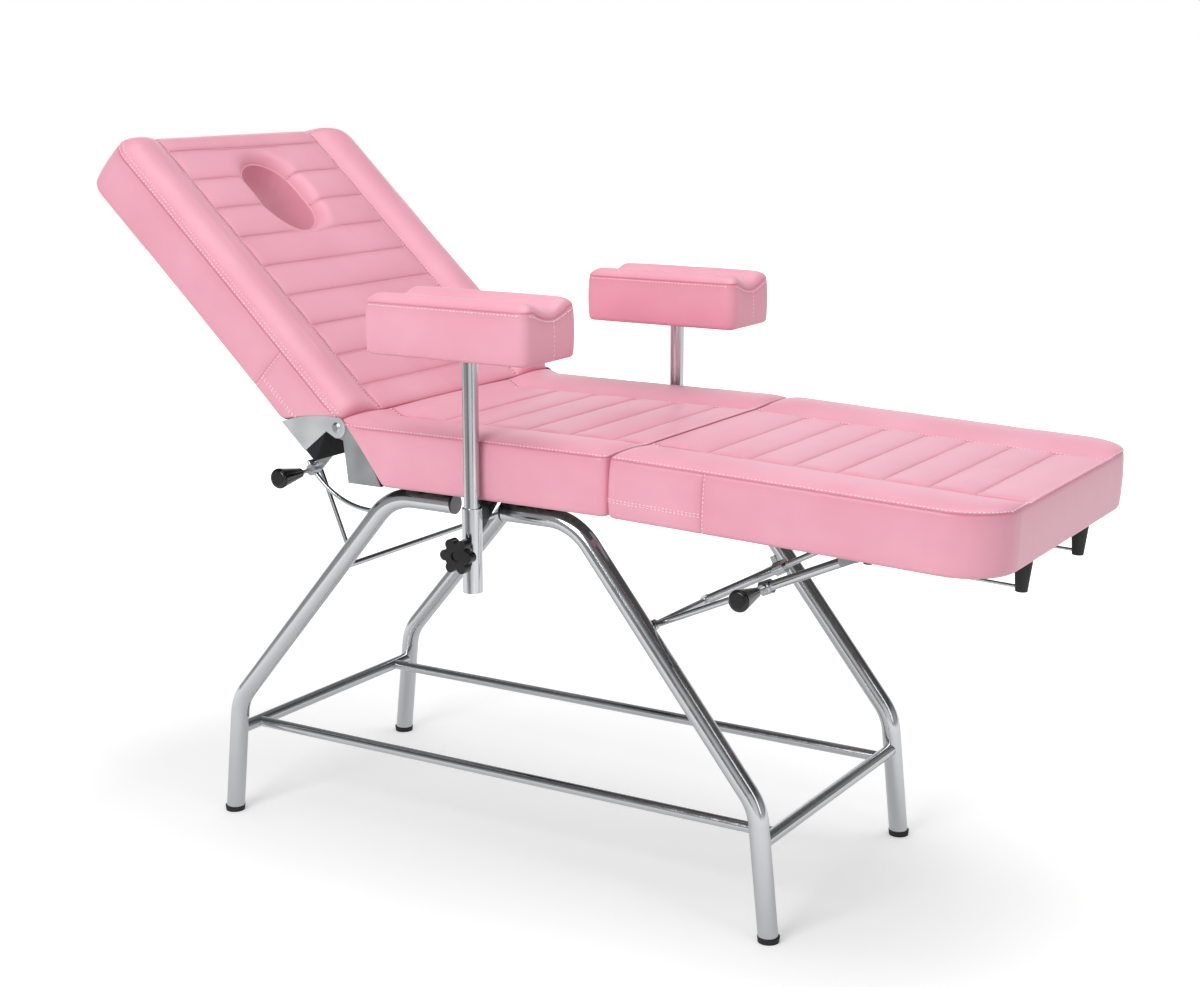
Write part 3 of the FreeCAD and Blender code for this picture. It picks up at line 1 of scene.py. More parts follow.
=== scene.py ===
# %% [markdown]
# # A tattoo chair in pink upholstery on a bent steel frame
# The metal frame comes from the CAD model, already in its place and in metres.
# This lesson dresses it: the cushions are built as sewn covers and filled by a
# cloth simulation, the stitches are laid by Geometry Nodes, and each surface gets
# the finish of the real material.

# %% Load the frame
import bmesh
import bpy
import math
import numpy as np
from mathutils import Matrix, Vector
from mathutils.bvhtree import BVHTree


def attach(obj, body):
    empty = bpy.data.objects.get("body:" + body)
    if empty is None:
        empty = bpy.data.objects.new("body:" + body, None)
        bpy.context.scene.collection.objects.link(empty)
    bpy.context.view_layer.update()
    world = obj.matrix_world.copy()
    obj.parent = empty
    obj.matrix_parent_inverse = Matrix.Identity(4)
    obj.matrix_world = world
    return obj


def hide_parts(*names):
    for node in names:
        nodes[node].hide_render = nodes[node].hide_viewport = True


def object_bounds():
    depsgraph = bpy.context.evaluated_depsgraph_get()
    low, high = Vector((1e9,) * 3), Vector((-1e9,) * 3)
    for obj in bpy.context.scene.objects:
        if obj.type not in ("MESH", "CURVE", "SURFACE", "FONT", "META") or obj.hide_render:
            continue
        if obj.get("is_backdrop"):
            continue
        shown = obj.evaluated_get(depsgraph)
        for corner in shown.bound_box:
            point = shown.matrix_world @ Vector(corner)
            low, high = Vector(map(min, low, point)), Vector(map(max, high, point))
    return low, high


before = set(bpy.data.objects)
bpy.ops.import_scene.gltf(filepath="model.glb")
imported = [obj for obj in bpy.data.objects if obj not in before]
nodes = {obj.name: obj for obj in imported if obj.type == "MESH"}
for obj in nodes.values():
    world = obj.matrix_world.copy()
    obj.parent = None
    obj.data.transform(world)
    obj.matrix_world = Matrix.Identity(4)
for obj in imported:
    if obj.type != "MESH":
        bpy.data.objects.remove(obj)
cad_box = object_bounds()
MM = 0.001


# %% [markdown]
# Colours are written as the hex values a designer would use and turned into the
# linear light values that the renderer works in. One helper sets a node's inputs,
# by value or by link, and one adds a shader node with its settings and inputs, so
# that each material below reads as a recipe. The scales of the patterns are in
# repeats per metre, so a pattern of so many millimetres has the scale 1 / (mm * MM).

# %% Colour and node helpers
def colour(hex_text):
    """Linear RGBA from an sRGB hex value."""
    parts = [int(hex_text[i:i + 2], 16) / 255 for i in (1, 3, 5)]
    return [c / 12.92 if c <= 0.04045 else ((c + 0.055) / 1.055) ** 2.4 for c in parts] + [1.0]


def plug(tree, node, **sockets):
    """Set inputs by name, or by number as in i0. A node as value means its first output."""
    for key, value in sockets.items():
        numbered = key[0] == "i" and key[1:].isdigit()
        socket = node.inputs[int(key[1:]) if numbered else key.replace("_", " ")]
        if isinstance(value, bpy.types.Node):
            value = value.outputs[0]
        if isinstance(value, bpy.types.NodeSocket):
            tree.links.new(value, socket)
        else:
            socket.default_value = value
    return node


def add(tree, kind, settings=None, **sockets):
    """Add one node: settings are its properties, sockets are values or links."""
    node = tree.nodes.new(kind)
    for name, value in (settings or {}).items():
        setattr(node, name, value)
    return plug(tree, node, **sockets)


def new_material(name):
    """A material with its tree, its Principled shader and the object's coordinates."""
    material = bpy.data.materials.new(name)
    material.use_nodes = True
    tree = material.node_tree
    place = add(tree, "ShaderNodeTexCoord").outputs["Object"]
    return material, tree, tree.nodes["Principled BSDF"], place


def ramp(tree, factor, *stops):
    """A colour ramp: each stop is a place from 0 to 1 and a grey level or a hex colour."""
    node = add(tree, "ShaderNodeValToRGB", Fac=factor)
    elements = node.color_ramp.elements
    while len(elements) < len(stops):
        elements.new(0.5)
    for element, (place, level) in zip(elements, stops):
        element.position = place
        element.color = colour(level) if isinstance(level, str) else (level, level, level, 1)
    return node.outputs["Color"]


# %% [markdown]
# The cover is upholstery vinyl: a knitted cloth under a skin of soft PVC that was
# embossed with a fine leather grain. It gives a satin shine with soft, broad
# highlights. Real grain has cells about a millimetre across; the Voronoi cells are
# drawn coarser, so that they show. Noise gives the slow drift in tone, and a
# stretched noise the short wrinkles that gather along the seams, where an attribute
# on the mesh fades them out. The same attribute darkens the colour towards a deeper
# pink along the seams, round the face hole's lip and at the walls' edges: painted
# shade for those creases.

# %% Vinyl
GRAIN_MM = 1.6
PORES_PER_METRE, FOLDS_PER_METRE = 900.0, 150.0
SEAM_SHADE_TINT = "#d79aac"


def vinyl(name, tone, pale, deep, roughness):
    material, tree, shader, place = new_material(name)
    drift = add(tree, "ShaderNodeTexNoise", Vector=place, Scale=7.0, Detail=3.0, Roughness=0.55)
    body = ramp(tree, drift, (0.3, deep), (0.5, tone), (0.72, pale))
    grain = add(tree, "ShaderNodeTexVoronoi", {"feature": "SMOOTH_F1"}, Vector=place,
                Scale=1 / (GRAIN_MM * MM), Smoothness=0.6)
    fine = add(tree, "ShaderNodeTexNoise", Vector=place, Scale=PORES_PER_METRE, Detail=2.0)
    edge = add(tree, "ShaderNodeAttribute", {"attribute_name": "seam"}).outputs["Fac"]
    pulls = add(tree, "ShaderNodeAttribute", {"attribute_name": "along"}).outputs["Vector"]
    squeeze = add(tree, "ShaderNodeMapping", Vector=pulls, Scale=(1.0, 0.16, 1.0))
    folds = add(tree, "ShaderNodeTexNoise", Vector=squeeze, Scale=FOLDS_PER_METRE, Detail=2.0,
                Roughness=0.45, Distortion=0.4)
    gathered = add(tree, "ShaderNodeMath", {"operation": "MULTIPLY"}, i0=folds, i1=edge)
    skin = add(tree, "ShaderNodeMath", {"operation": "MULTIPLY_ADD"}, i0=grain, i1=0.35, i2=fine)
    grained = add(tree, "ShaderNodeBump", Strength=0.16, Distance=0.0004, Height=skin)
    creased = add(tree, "ShaderNodeBump", Strength=0.5, Distance=0.0016, Height=gathered,
                  Normal=grained)
    # Painted shade: where the seam attribute is high, the colour is multiplied by a deeper pink.
    seam_shade_fade = ramp(tree, edge, (0.0, 0.0), (0.55, 0.18), (0.98, 1.0))
    seam_shade = add(tree, "ShaderNodeMix", {"data_type": "RGBA", "blend_type": "MULTIPLY"},
               Factor=seam_shade_fade, i6=body, i7=colour(SEAM_SHADE_TINT))
    shine = ramp(tree, drift, (0.25, roughness - 0.05), (0.75, roughness + 0.05))
    plug(tree, shader, Base_Color=seam_shade.outputs[2], Roughness=shine, Normal=creased,
         IOR=1.52, Specular_IOR_Level=0.36, Sheen_Weight=0.08)
    return material


upholstery_vinyl = vinyl("upholstery_vinyl", "#e8a4b6", "#ebaabb", "#e59fb1", 0.33)
# A darker copy of the vinyl for the face hole's lining: painted shade.
shaded_hole_vinyl = vinyl("face_hole_shaded_vinyl", "#e297ab", "#e69fb1", "#dc8fa4", 0.42)
print("vinyls:", upholstery_vinyl.name, shaded_hole_vinyl.name)

# %% [markdown]
# The stitches are bonded polyester thread, dyed to match and a little paler than
# the vinyl. Twisted thread is a bundle of fine shiny fibres, so it gets a high
# roughness and diagonal ridges. They are drawn coarser than a real thread's, like
# the thread itself, at about five to a stitch.

# %% Thread
THREAD_TWIST_MM = 0.9
sewing_thread, tree, shader, place = new_material("sewing_thread")
twist = add(tree, "ShaderNodeTexWave", {"bands_direction": "DIAGONAL"}, Vector=place,
            Scale=1 / (THREAD_TWIST_MM * MM * 6.2832), Distortion=0.3).outputs["Fac"]
ridge = add(tree, "ShaderNodeBump", Strength=0.5, Distance=0.0002, Height=twist)
# Paler on the twist's ridges and darker in the grooves between them: painted shade in the grooves,
# over the thread's own pale dye.
twist_shaded_strand = ramp(tree, twist, (0.0, "#f5ccd8"), (1.0, "#fde6ed"))
plug(tree, shader, Base_Color=twist_shaded_strand, Normal=ridge, Roughness=0.62)

# %% [markdown]
# The tubes are chromed steel. The steel was ground along its length before it was
# plated, so the mirror is slightly drawn out along the tube and carries faint
# lines. Real plating also has soft cloudy patches where it was buffed. Noise on
# object coordinates gives both, through roughness and a very small bump.


# %% Chrome
def plated(name, tint, low, high, streak):
    material, tree, shader, place = new_material(name)
    clouds = add(tree, "ShaderNodeTexNoise", Vector=place, Scale=14.0, Detail=3.0)
    drawn = add(tree, "ShaderNodeMapping", Vector=place, Scale=streak)
    lines = add(tree, "ShaderNodeTexNoise", Vector=drawn, Scale=60.0, Detail=3.0, Roughness=0.6)
    mixed = add(tree, "ShaderNodeMath", {"operation": "ADD"}, i0=clouds, i1=lines)
    half = add(tree, "ShaderNodeMath", {"operation": "MULTIPLY"}, i0=mixed, i1=0.5)
    shine = ramp(tree, half, (0.35, low), (0.65, high))
    waves = add(tree, "ShaderNodeBump", Strength=0.35, Distance=0.0004, Height=lines)
    plug(tree, shader, Base_Color=colour(tint), Metallic=1.0, Roughness=shine, Normal=waves)
    return material


chromed_tube = plated("chromed_tube", "#c4c6c9", 0.10, 0.22, (1.0, 1.0, 0.25))
zinc_plated = plated("zinc_plated_steel", "#b9bcc0", 0.28, 0.44, (1.0, 1.0, 1.0))

# %% [markdown]
# The hinge plates are stamped stainless sheet with a brushed face. Brushing leaves
# parallel scratches a fraction of a millimetre apart. They are drawn about twice
# as wide here, so that they show. The seat's plate faces the dark underside and
# the backrest's the bright room, so the seat's is a darker copy, as painted shade,
# and the backrest's a paler one, as painted light. Soft dents come from the press.

# %% Brushed plate
SCRATCH_MM = 0.6


def brushed(name, deep, pale, turn, metallic):
    material, tree, shader, place = new_material(name)
    drawn = add(tree, "ShaderNodeMapping", Vector=place, Rotation=(0, math.radians(turn), 0),
                Scale=(0.02, 1.0, 1.0))
    scratch = add(tree, "ShaderNodeTexNoise", Vector=drawn, Scale=1 / (SCRATCH_MM * MM), Detail=2.0)
    pressed = add(tree, "ShaderNodeTexNoise", Vector=place, Scale=22.0, Detail=1.0)
    tone = ramp(tree, pressed, (0.35, deep), (0.65, pale))
    shine = ramp(tree, scratch, (0.3, 0.3), (0.7, 0.42))
    lines = add(tree, "ShaderNodeBump", Strength=0.25, Distance=0.0002, Height=scratch)
    dents = add(tree, "ShaderNodeBump", Strength=0.4, Distance=0.0012, Height=pressed, Normal=lines)
    plug(tree, shader, Base_Color=tone, Roughness=shine, Normal=dents, Metallic=metallic)
    return material


# Painted light and shade: one brushed finish, in a darker copy for the seat's plate and a paler
# copy for the backrest's.
shaded_seat_plate_steel = brushed("brushed_shaded_seat_plate", "#a2a5a8", "#b9bcbf", 38, 0.9)
lit_back_plate_steel = brushed("brushed_lit_back_plate", "#c4c7c9", "#d6d8da", -20, 0.55)

# %% [markdown]
# The dark parts are of four kinds: steel under gloss enamel, moulded rubber with a
# matt, slightly pitted skin, the knobs' phenolic plastic, which is polished in the
# mould and shows every light, and lining cloth. Black reads as dark grey under
# light, so none of them is pure black.


# %% Black finishes
def dark(name, low, high, rough_low, rough_high, pit_mm, depth):
    material, tree, shader, place = new_material(name)
    clouds = add(tree, "ShaderNodeTexNoise", Vector=place, Scale=25.0, Detail=3.0)
    pits = add(tree, "ShaderNodeTexNoise", Vector=place, Scale=1 / (pit_mm * MM), Detail=2.0)
    pitted = add(tree, "ShaderNodeBump", Strength=0.3, Distance=depth, Height=pits)
    plug(tree, shader, Base_Color=ramp(tree, clouds, (0.3, low), (0.7, high)),
         Roughness=ramp(tree, clouds, (0.3, rough_low), (0.7, rough_high)), Normal=pitted)
    return material


black_enamel = dark("gloss_black_enamel", "#131416", "#1c1d20", 0.18, 0.30, 2.5, 0.0003)
black_rubber = dark("moulded_black_rubber", "#161618", "#222225", 0.55, 0.75, 1.2, 0.0003)
phenolic = dark("phenolic_knob_plastic", "#101012", "#19191c", 0.16, 0.28, 3.0, 0.0002)
lining = dark("black_lining_cloth", "#141416", "#202024", 0.8, 0.95, 1.5, 0.0006)

# %% [markdown]
# The plugs in the rails' open ends are black rubber rings round a grey disc. The
# disc faces along the rail, so the mesh's own normal tells it from the ring.

# %% End caps
capped, tree, shader, place = new_material("grey_capped_rubber")
normal = add(tree, "ShaderNodeTexCoord").outputs["Normal"]
facing = add(tree, "ShaderNodeSeparateXYZ", Vector=normal).outputs["X"]
flat = add(tree, "ShaderNodeMath", {"operation": "ABSOLUTE"}, i0=facing)
plug(tree, shader, Base_Color=ramp(tree, flat, (0.9, "#1c1c1e"), (0.95, "#8f9193")), Roughness=0.5)

# %% [markdown]
# The boards under the cushions are plywood, coloured a dark brown-grey as painted
# shade for the dark underside of the chair. A stretched noise gives the grain of
# the face veneer: lines a few millimetres apart that run across the chair.

# %% Plywood
GRAIN_LINE_MM = 5.0
shade_dark_plywood, tree, shader, place = new_material("shade_dark_plywood")
drawn = add(tree, "ShaderNodeMapping", Vector=place, Scale=(1.0, 0.06, 1.0))
veneer = add(tree, "ShaderNodeTexNoise", Vector=drawn, Scale=1 / (GRAIN_LINE_MM * MM),
             Detail=5.0, Distortion=0.6)
grain = add(tree, "ShaderNodeBump", Strength=0.3, Distance=0.0003, Height=veneer)
# Painted shade: the board's tone is darkened for the shade under the cushions; the veneer noise
# varies it.
shade_dark_tone = ramp(tree, veneer, (0.3, "#4d4945"), (0.5, "#5b5651"), (0.7, "#68635d"))
plug(tree, shader, Base_Color=shade_dark_tone, Normal=grain, Roughness=0.6)

# %% [markdown]
# Each CAD node that stays in view gets its finish here, by name.

# %% Dress the CAD nodes
FINISHES = (
    (chromed_tube, """head_leg_near head_leg_far foot_leg_near foot_leg_far head_crossbar
        foot_crossbar mid_rods long_bars lock_rail lock_prop arm_post_near arm_post_far
        near_stay_rod near_stay_tube near_stay_collar centre_stay_tube centre_stay_collar
        centre_stay_rod side_rods arm_sleeve_near arm_sleeve_far"""),
    (black_enamel, "sleeve_brackets arm_plate_near arm_plate_far"),
    (zinc_plated, """hinge_rivets seat_hinge_leaves leg_hinge_leaves leg_hinge_pins lock_arm
        lock_hub lock_screw stay_screw knob_stud_near knob_stud_far stay_lugs"""),
    (shaded_seat_plate_steel, "seat_plate_near seat_plate_far"),
    (lit_back_plate_steel, "back_plate_near back_plate_far"),
    (black_rubber, "floor_glides seat_spacers stub_feet rod_blocks"),
    (capped, "rail_end_caps"),
    (phenolic, "lock_handle stay_handle star_knob_near star_knob_far"),
    (shade_dark_plywood, "seat_board back_board leg_board"),
    (lining, "seat_end_rail back_end_rail"),
)
for material, names in FINISHES:
    for name in names.split():
        nodes[name].data.materials.clear()
        nodes[name].data.materials.append(material)
print("finishes given:", sum(len(names.split()) for material, names in FINISHES))


# %% [markdown]
# ## The cushions
# Each of the three long cushions is a box cover: a channelled panel between two
# stuffed bolsters on top, and a boxing strip round the sides. It could be carved
# from a block, but then the seams would fall between vertices. Here the cover is
# cut as the upholsterer cuts it: a grid whose rows and columns lie on the seams,
# close together near them and wide apart between them.


# %% Places of rows and columns, and new objects
def graded(marks, fine, coarse, growth=1.7):
    """Places from the first mark to the last, fine at each mark and coarse between."""
    places = [marks[0]]
    for start, end in zip(marks, marks[1:]):
        half = (end - start) / 2
        steps = []
        run, step = 0.0, fine
        while run + step < half:
            run += step
            steps.append(run)
            step = min(step * growth, coarse)
        places += [start + s for s in steps] + [(start + end) / 2]
        places += [end - s for s in reversed(steps)] + [end]
    return places


def new_mesh(name, points, edges, faces):
    mesh = bpy.data.meshes.new(name)
    mesh.from_pydata(points, edges, faces)
    return mesh


def link(data, *materials):
    """An object in the scene for a mesh, a lamp or a camera."""
    piece = bpy.data.objects.new(data.name, data)
    bpy.context.collection.objects.link(piece)
    for material in materials:
        data.materials.append(material)
    return piece


def smooth(x):
    """0 to 1 with level ends."""
    x = np.clip(x, 0, 1)
    return x * x * (3 - 2 * x)


def dome(x, power):
    """A pillow's section: 0 at 0 and 1, 1 in the middle, steep at its edges."""
    return np.clip(1 - (2 * np.clip(x, 0, 1) - 1) ** 2, 0, 1) ** power


def quarter_round(x):
    """A quarter circle's height: 0 at 0, steep at first, 1 at 1."""
    return np.sqrt(np.clip(1 - (1 - x) ** 2, 0, 1))


# %% [markdown]
# The shape of a cover in its own place: u runs from the joint to the far end, y
# across, and z up from the seam that joins panel and boxing. All are in
# millimetres until the mesh is made.

# %% One cover's sizes
HALF_WIDTH = 312.5
SIDE_CLEARANCE, WAIST = 1.0, 2.5
END_ROLL = 32.0
LOBE_REACH = 34
CREST_INSET = 54.0
PILLOW, PILLOW_POWER = 4.6, 0.42
SEAM_DIP, SEAM_DIP_WIDTH = 1.6, 3.0
HOLE_CENTRE, HOLE_LENGTH, HOLE_WIDTH = 497.5, 167.0, 122.0
HOLE_LIP, HOLE_RIM = 30.0, -11.0


def hole_distance(u, y):
    """Distance outside the face hole's outline, negative inside it."""
    straight = (HOLE_LENGTH - HOLE_WIDTH) / 2
    along = np.maximum(np.abs(u - HOLE_CENTRE) - straight, 0)
    return np.hypot(along, y) - HOLE_WIDTH / 2


class Cover:
    """Sizes of one long cushion and the heights of its top panel."""

    def __init__(self, low, high, depth, crest, groove, bolster, seams, radii,
                 climb=0.0, hole=False):
        self.low, self.high, self.depth = low, high, depth
        self.crest, self.groove, self.bolster = crest, groove, bolster
        self.seams = (low, *seams, high)
        self.low_radius, self.high_radius = radii
        self.climb, self.hinged, self.hole = climb, climb > 0, hole

    def round_corners(self, u, width):
        for radius, run in ((self.low_radius, u - self.low), (self.high_radius, self.high - u)):
            inside = np.clip(radius - run, 0, radius)
            width = width - (radius - np.sqrt(radius ** 2 - inside ** 2))
        return width

    def half_width(self, u):
        """Half the cover's width: sides drawn in between their ends, corners rounded."""
        share = (u - self.low) / (self.high - self.low)
        width = HALF_WIDTH - SIDE_CLEARANCE - WAIST * np.sin(np.pi * np.clip(share, 0, 1))
        return self.round_corners(u, width)

    def edge_height(self, u):
        """Height of the cover's outer seam: it climbs to the hinge's lobe."""
        return self.climb * smooth(1 - (u - self.low) / LOBE_REACH)

    def top(self, u, across):
        """Height of the panel; across is 0 to 1 on the panel and 1 to 2 on a bolster."""
        q = np.clip(np.abs(across) - 1, 0, 1)
        crest_q = (HALF_WIDTH - CREST_INSET - self.bolster) / (HALF_WIDTH - self.bolster)
        rise = np.sin(np.clip(q / crest_q, 0, 1) * np.pi / 2) ** 0.85
        fall = (1 - np.clip((q - crest_q) / (1 - crest_q), 0, 1) ** 2.6) ** 0.62
        bolster = np.where(q < crest_q, self.groove + (self.crest - self.groove) * rise,
                           self.crest * fall)
        y = np.abs(across) * self.bolster
        height = np.full_like(u, self.groove)
        for first, last in zip(self.seams, self.seams[1:]):
            inside = (u >= first) & (u <= last)
            pillow = PILLOW * dome((u - first) / (last - first), PILLOW_POWER)
            height = np.where(inside, self.groove + pillow, height)
        near_bolster = np.clip((self.bolster - y) / 14, 0, 1)
        panel = self.groove + (height - self.groove) * (0.55 + 0.45 * smooth(near_bolster))
        if self.hole:
            level = self.groove + 0.75 * PILLOW
            panel = level + (panel - level) * smooth(hole_distance(u, y) / (0.45 * HOLE_LIP))
        z = np.where(np.abs(across) <= 1, panel, bolster)
        bolster_gap = np.abs(np.abs(across) - 1) * self.bolster
        z = z - SEAM_DIP * np.exp(-bolster_gap / SEAM_DIP_WIDTH)
        for run in (u - self.low, self.high - u):
            t = np.clip(run / END_ROLL, 0, 1)
            z = np.where(z > 0, z * quarter_round(t), z * smooth(t * 1.6))
        z = z + self.edge_height(u)
        if self.hole:
            share = np.clip(hole_distance(u, y) / HOLE_LIP, 0, 1)
            z = HOLE_RIM + (z - HOLE_RIM) * np.sin(share * np.pi / 2) ** 0.65
        return z


# %% [markdown]
# From those heights the cover is laid out: the grid of the top panel, then the
# boxing as loops below its edge, then a rim and a pocket underneath that takes the
# plywood. Where the chair hinges, the boxing is cut on a slant to follow the edge
# of the steel plate. The backrest's face hole replaces a patch of the grid with
# rings that run from the patch's edge to the hole.

# %% Lay out a cover
FINE, COARSE, PANEL_COARSE = 1.6, 6.5, 7.0
HOLE_REACH, HOLE_MARGIN = 45.0, 18
RING_STEPS = (0.16, 0.32, 0.47, 0.6, 0.71, 0.8, 0.88, 0.94, 0.98, 1.0)


def hole_point(u, y):
    """Where a line from the hole's spine to a point crosses the hole's outline."""
    spine = HOLE_CENTRE + np.clip(u - HOLE_CENTRE, -HOLE_REACH, HOLE_REACH)
    low, high = 0.0, 1.0
    for step in range(30):
        middle = (low + high) / 2
        if hole_distance(spine + (u - spine) * middle, y * middle) > 0:
            high = middle
        else:
            low = middle
    return spine + (u - spine) * high, y * high


def lay_out(cover, wall_marks=()):
    """The grid of the top panel, and the rings round the face hole if there is one."""
    marks = sorted({cover.low, cover.high, *cover.seams[1:-1], *wall_marks})
    rows = np.array(graded(marks, FINE, COARSE))
    panel = np.array(graded([-cover.bolster, 0.0, cover.bolster], FINE, PANEL_COARSE))
    panel = panel / cover.bolster
    width = HALF_WIDTH - cover.bolster
    side = 1 + np.array(graded([0.0, width], FINE, COARSE))[1:] / width
    columns = np.concatenate([-side[::-1], panel, side])
    u, across = np.meshgrid(rows, columns, indexing="ij")
    beyond = np.clip(np.abs(across) - 1, 0, 1)
    reach = cover.bolster + beyond * (cover.half_width(u) - cover.bolster)
    y = np.where(np.abs(across) <= 1, across * cover.bolster, np.sign(across) * reach)
    z = cover.top(u, across)
    count_u, count_y = u.shape
    index = np.arange(u.size).reshape(u.shape)
    points = [tuple(p) for p in np.stack([u, y, z], -1).reshape(-1, 3)]
    keep = np.ones((count_u - 1, count_y - 1), bool)
    faces, rings = [], []
    if cover.hole:
        beside = [s for s in cover.seams if abs(s - HOLE_CENTRE) > HOLE_LENGTH / 2]
        i0 = np.argmin(np.abs(rows - max(s for s in beside if s < HOLE_CENTRE)))
        i1 = np.argmin(np.abs(rows - min(s for s in beside if s > HOLE_CENTRE)))
        j0 = np.searchsorted(columns * cover.bolster, -HOLE_WIDTH / 2 - HOLE_MARGIN) - 1
        j1 = np.searchsorted(columns * cover.bolster, HOLE_WIDTH / 2 + HOLE_MARGIN)
        keep[i0:i1, j0:j1] = False
        edge = ([(i, j0) for i in range(i0, i1)] + [(i1, j) for j in range(j0, j1)]
                + [(i, j1) for i in range(i1, i0, -1)] + [(i0, j) for j in range(j1, j0, -1)])
        loop = [index[i, j] for i, j in edge]
        targets = [hole_point(u[i, j], y[i, j]) for i, j in edge]
        for share in RING_STEPS:
            ring = []
            for (i, j), (hu, hy) in zip(edge, targets):
                pu, py = u[i, j] + (hu - u[i, j]) * share, y[i, j] + (hy - y[i, j]) * share
                ring.append(len(points))
                height = cover.top(np.array([pu]), np.array([py / cover.bolster]))[0]
                points.append((pu, py, height))
            faces += [(loop[k], loop[(k + 1) % len(loop)], ring[(k + 1) % len(loop)], ring[k])
                      for k in range(len(loop))]
            rings.append(ring)
            loop = ring
    for i in range(count_u - 1):
        for j in range(count_y - 1):
            if keep[i, j]:
                faces.append((index[i, j], index[i + 1, j], index[i + 1, j + 1], index[i, j + 1]))
    outline = [index[i, 0] for i in range(count_u - 1)]
    outline += [index[-1, j] for j in range(count_y - 1)]
    outline += [index[i, -1] for i in range(count_u - 1, 0, -1)]
    outline += [index[0, j] for j in range(count_y - 1, 0, -1)]
    return {"cover": cover, "points": points, "faces": faces, "outline": outline, "rings": rings,
            "grid": (u, across, index)}


# %% [markdown]
# The boxing hangs from the outline. Each point has a direction straight out of the
# cover, so a loop can swell by a few millimetres half-way down and tuck in under
# the bottom edge.

# %% Hang the boxing
WALL_STEPS = (0.012, 0.035, 0.08, 0.15, 0.24, 0.34, 0.44, 0.54, 0.64, 0.74, 0.83, 0.90, 0.945,
              0.975, 1.0)
PLATE_REACH, PLATE_BULGE, SLANT_FADE = 84.0, 5.5, 165
TUCK, TUCK_FROM, TUCK_SPAN = 4.5, 0.93, 0.07
SEAM_NIP, WALL_SEAM_NIP, WALL_SEAM_WIDTH = 1.3, 1.2, 2.2
RIM_INSET, POCKET_DEPTH = 13.0, 12.6


def outward(loop_points):
    """Directions out of a closed loop, in plan."""
    p = np.array(loop_points)[:, :2]
    step = np.roll(p, -1, axis=0) - np.roll(p, 1, axis=0)
    length = np.maximum(np.linalg.norm(step, axis=1, keepdims=True), 1e-6)
    return np.stack([step[:, 1], -step[:, 0]], -1) / length


def slant(cover, z):
    """How far the hinge end's edge has moved along the cover at a height."""
    if not cover.hinged:
        return 0.0 * z
    share = np.clip((cover.climb - z) / (cover.climb + cover.depth), 0, 1)
    return (PLATE_REACH - cover.low) * share + PLATE_BULGE * 4 * share * (1 - share)


def lay_loop(points, loop):
    """Add a loop's points and return their numbers."""
    start = len(points)
    points.extend(loop)
    return list(range(start, len(points)))


def lay_pocket(points, plan, depth):
    """Two loops under a cover: its flat rim and the ceiling of the board's pocket."""
    return [lay_loop(points, [(px, py, -depth + lift) for px, py in plan])
            for lift in (0.0, POCKET_DEPTH)]


def bands(levels):
    """Faces between closed loops that follow each other."""
    count = len(levels[0])
    return [(upper[k], lower[k], lower[(k + 1) % count], upper[(k + 1) % count])
            for upper, lower in zip(levels, levels[1:]) for k in range(count)]


def hang_boxing(made, belly=2.2, wall_seams=()):
    """Walls of a cover, and the rim and the pocket's ceiling under it."""
    cover, points, loop = made["cover"], made["points"], made["outline"]
    base = np.array([points[k] for k in loop])
    away = outward(base)
    at_hinge = np.zeros(len(base))
    if cover.hinged:
        at_hinge = 1 - smooth((base[:, 0] - cover.low) / SLANT_FADE)
    walls = []
    for share in WALL_STEPS:
        z = base[:, 2] * (1 - share) - cover.depth * share
        tuck = TUCK * max(0.0, (share - TUCK_FROM) / TUCK_SPAN) ** 2
        nip = SEAM_NIP * math.exp(-((share - WALL_STEPS[0]) / WALL_STEPS[0]) ** 2)
        out = belly * math.sin(math.pi * share) ** 0.8 - tuck - nip
        place = base[:, :2] + away * out
        crease = np.zeros(len(base))
        for seam_u in wall_seams:
            crease += (WALL_SEAM_NIP * np.exp(-np.abs(base[:, 0] - seam_u) / WALL_SEAM_WIDTH)
                       * (np.abs(away[:, 1]) > 0.8))
        place = place - away * crease[:, None]
        shift = slant(cover, z) * at_hinge
        level = [(px + s, py, pz) for (px, py), pz, s in zip(place, z, shift)]
        walls.append(lay_loop(points, level))
    rim = np.array([points[k] for k in walls[-1]])
    low_end = np.arange(len(loop)) >= len(loop) - (made["grid"][0].shape[1] - 1)
    corner = (np.abs(away) > 0.15).all(axis=1)
    at_low = base[:, 0] < (cover.low + cover.high) / 2
    radius = np.where(at_low, cover.low_radius, cover.high_radius)
    inset = np.where(corner, np.minimum(RIM_INSET, 0.8 * radius), RIM_INSET) - TUCK
    inset = np.where(low_end & cover.hinged, 0.5, inset)[:, None]
    walls += lay_pocket(points, rim[:, :2] - away * inset, cover.depth)
    made["faces"] += bands([loop] + walls)
    made["walls"], made["pocket"] = walls, walls[-1]
    return made


# %% [markdown]
# The hole is lined with a strip, darker as painted shade, that goes down through
# the board and turns out under it. The flat ceiling of the pocket closes the cover.

# %% Line the hole and close the cover
HOLE_WALL_STEPS = (0.03, 0.08, 0.16, 0.27, 0.4, 0.54, 0.68, 0.8, 0.9, 0.96, 1.0)
HOLE_BELLY, HOLE_FLARE, HOLE_TURN_OUT = 1.6, 4.0, 5.5


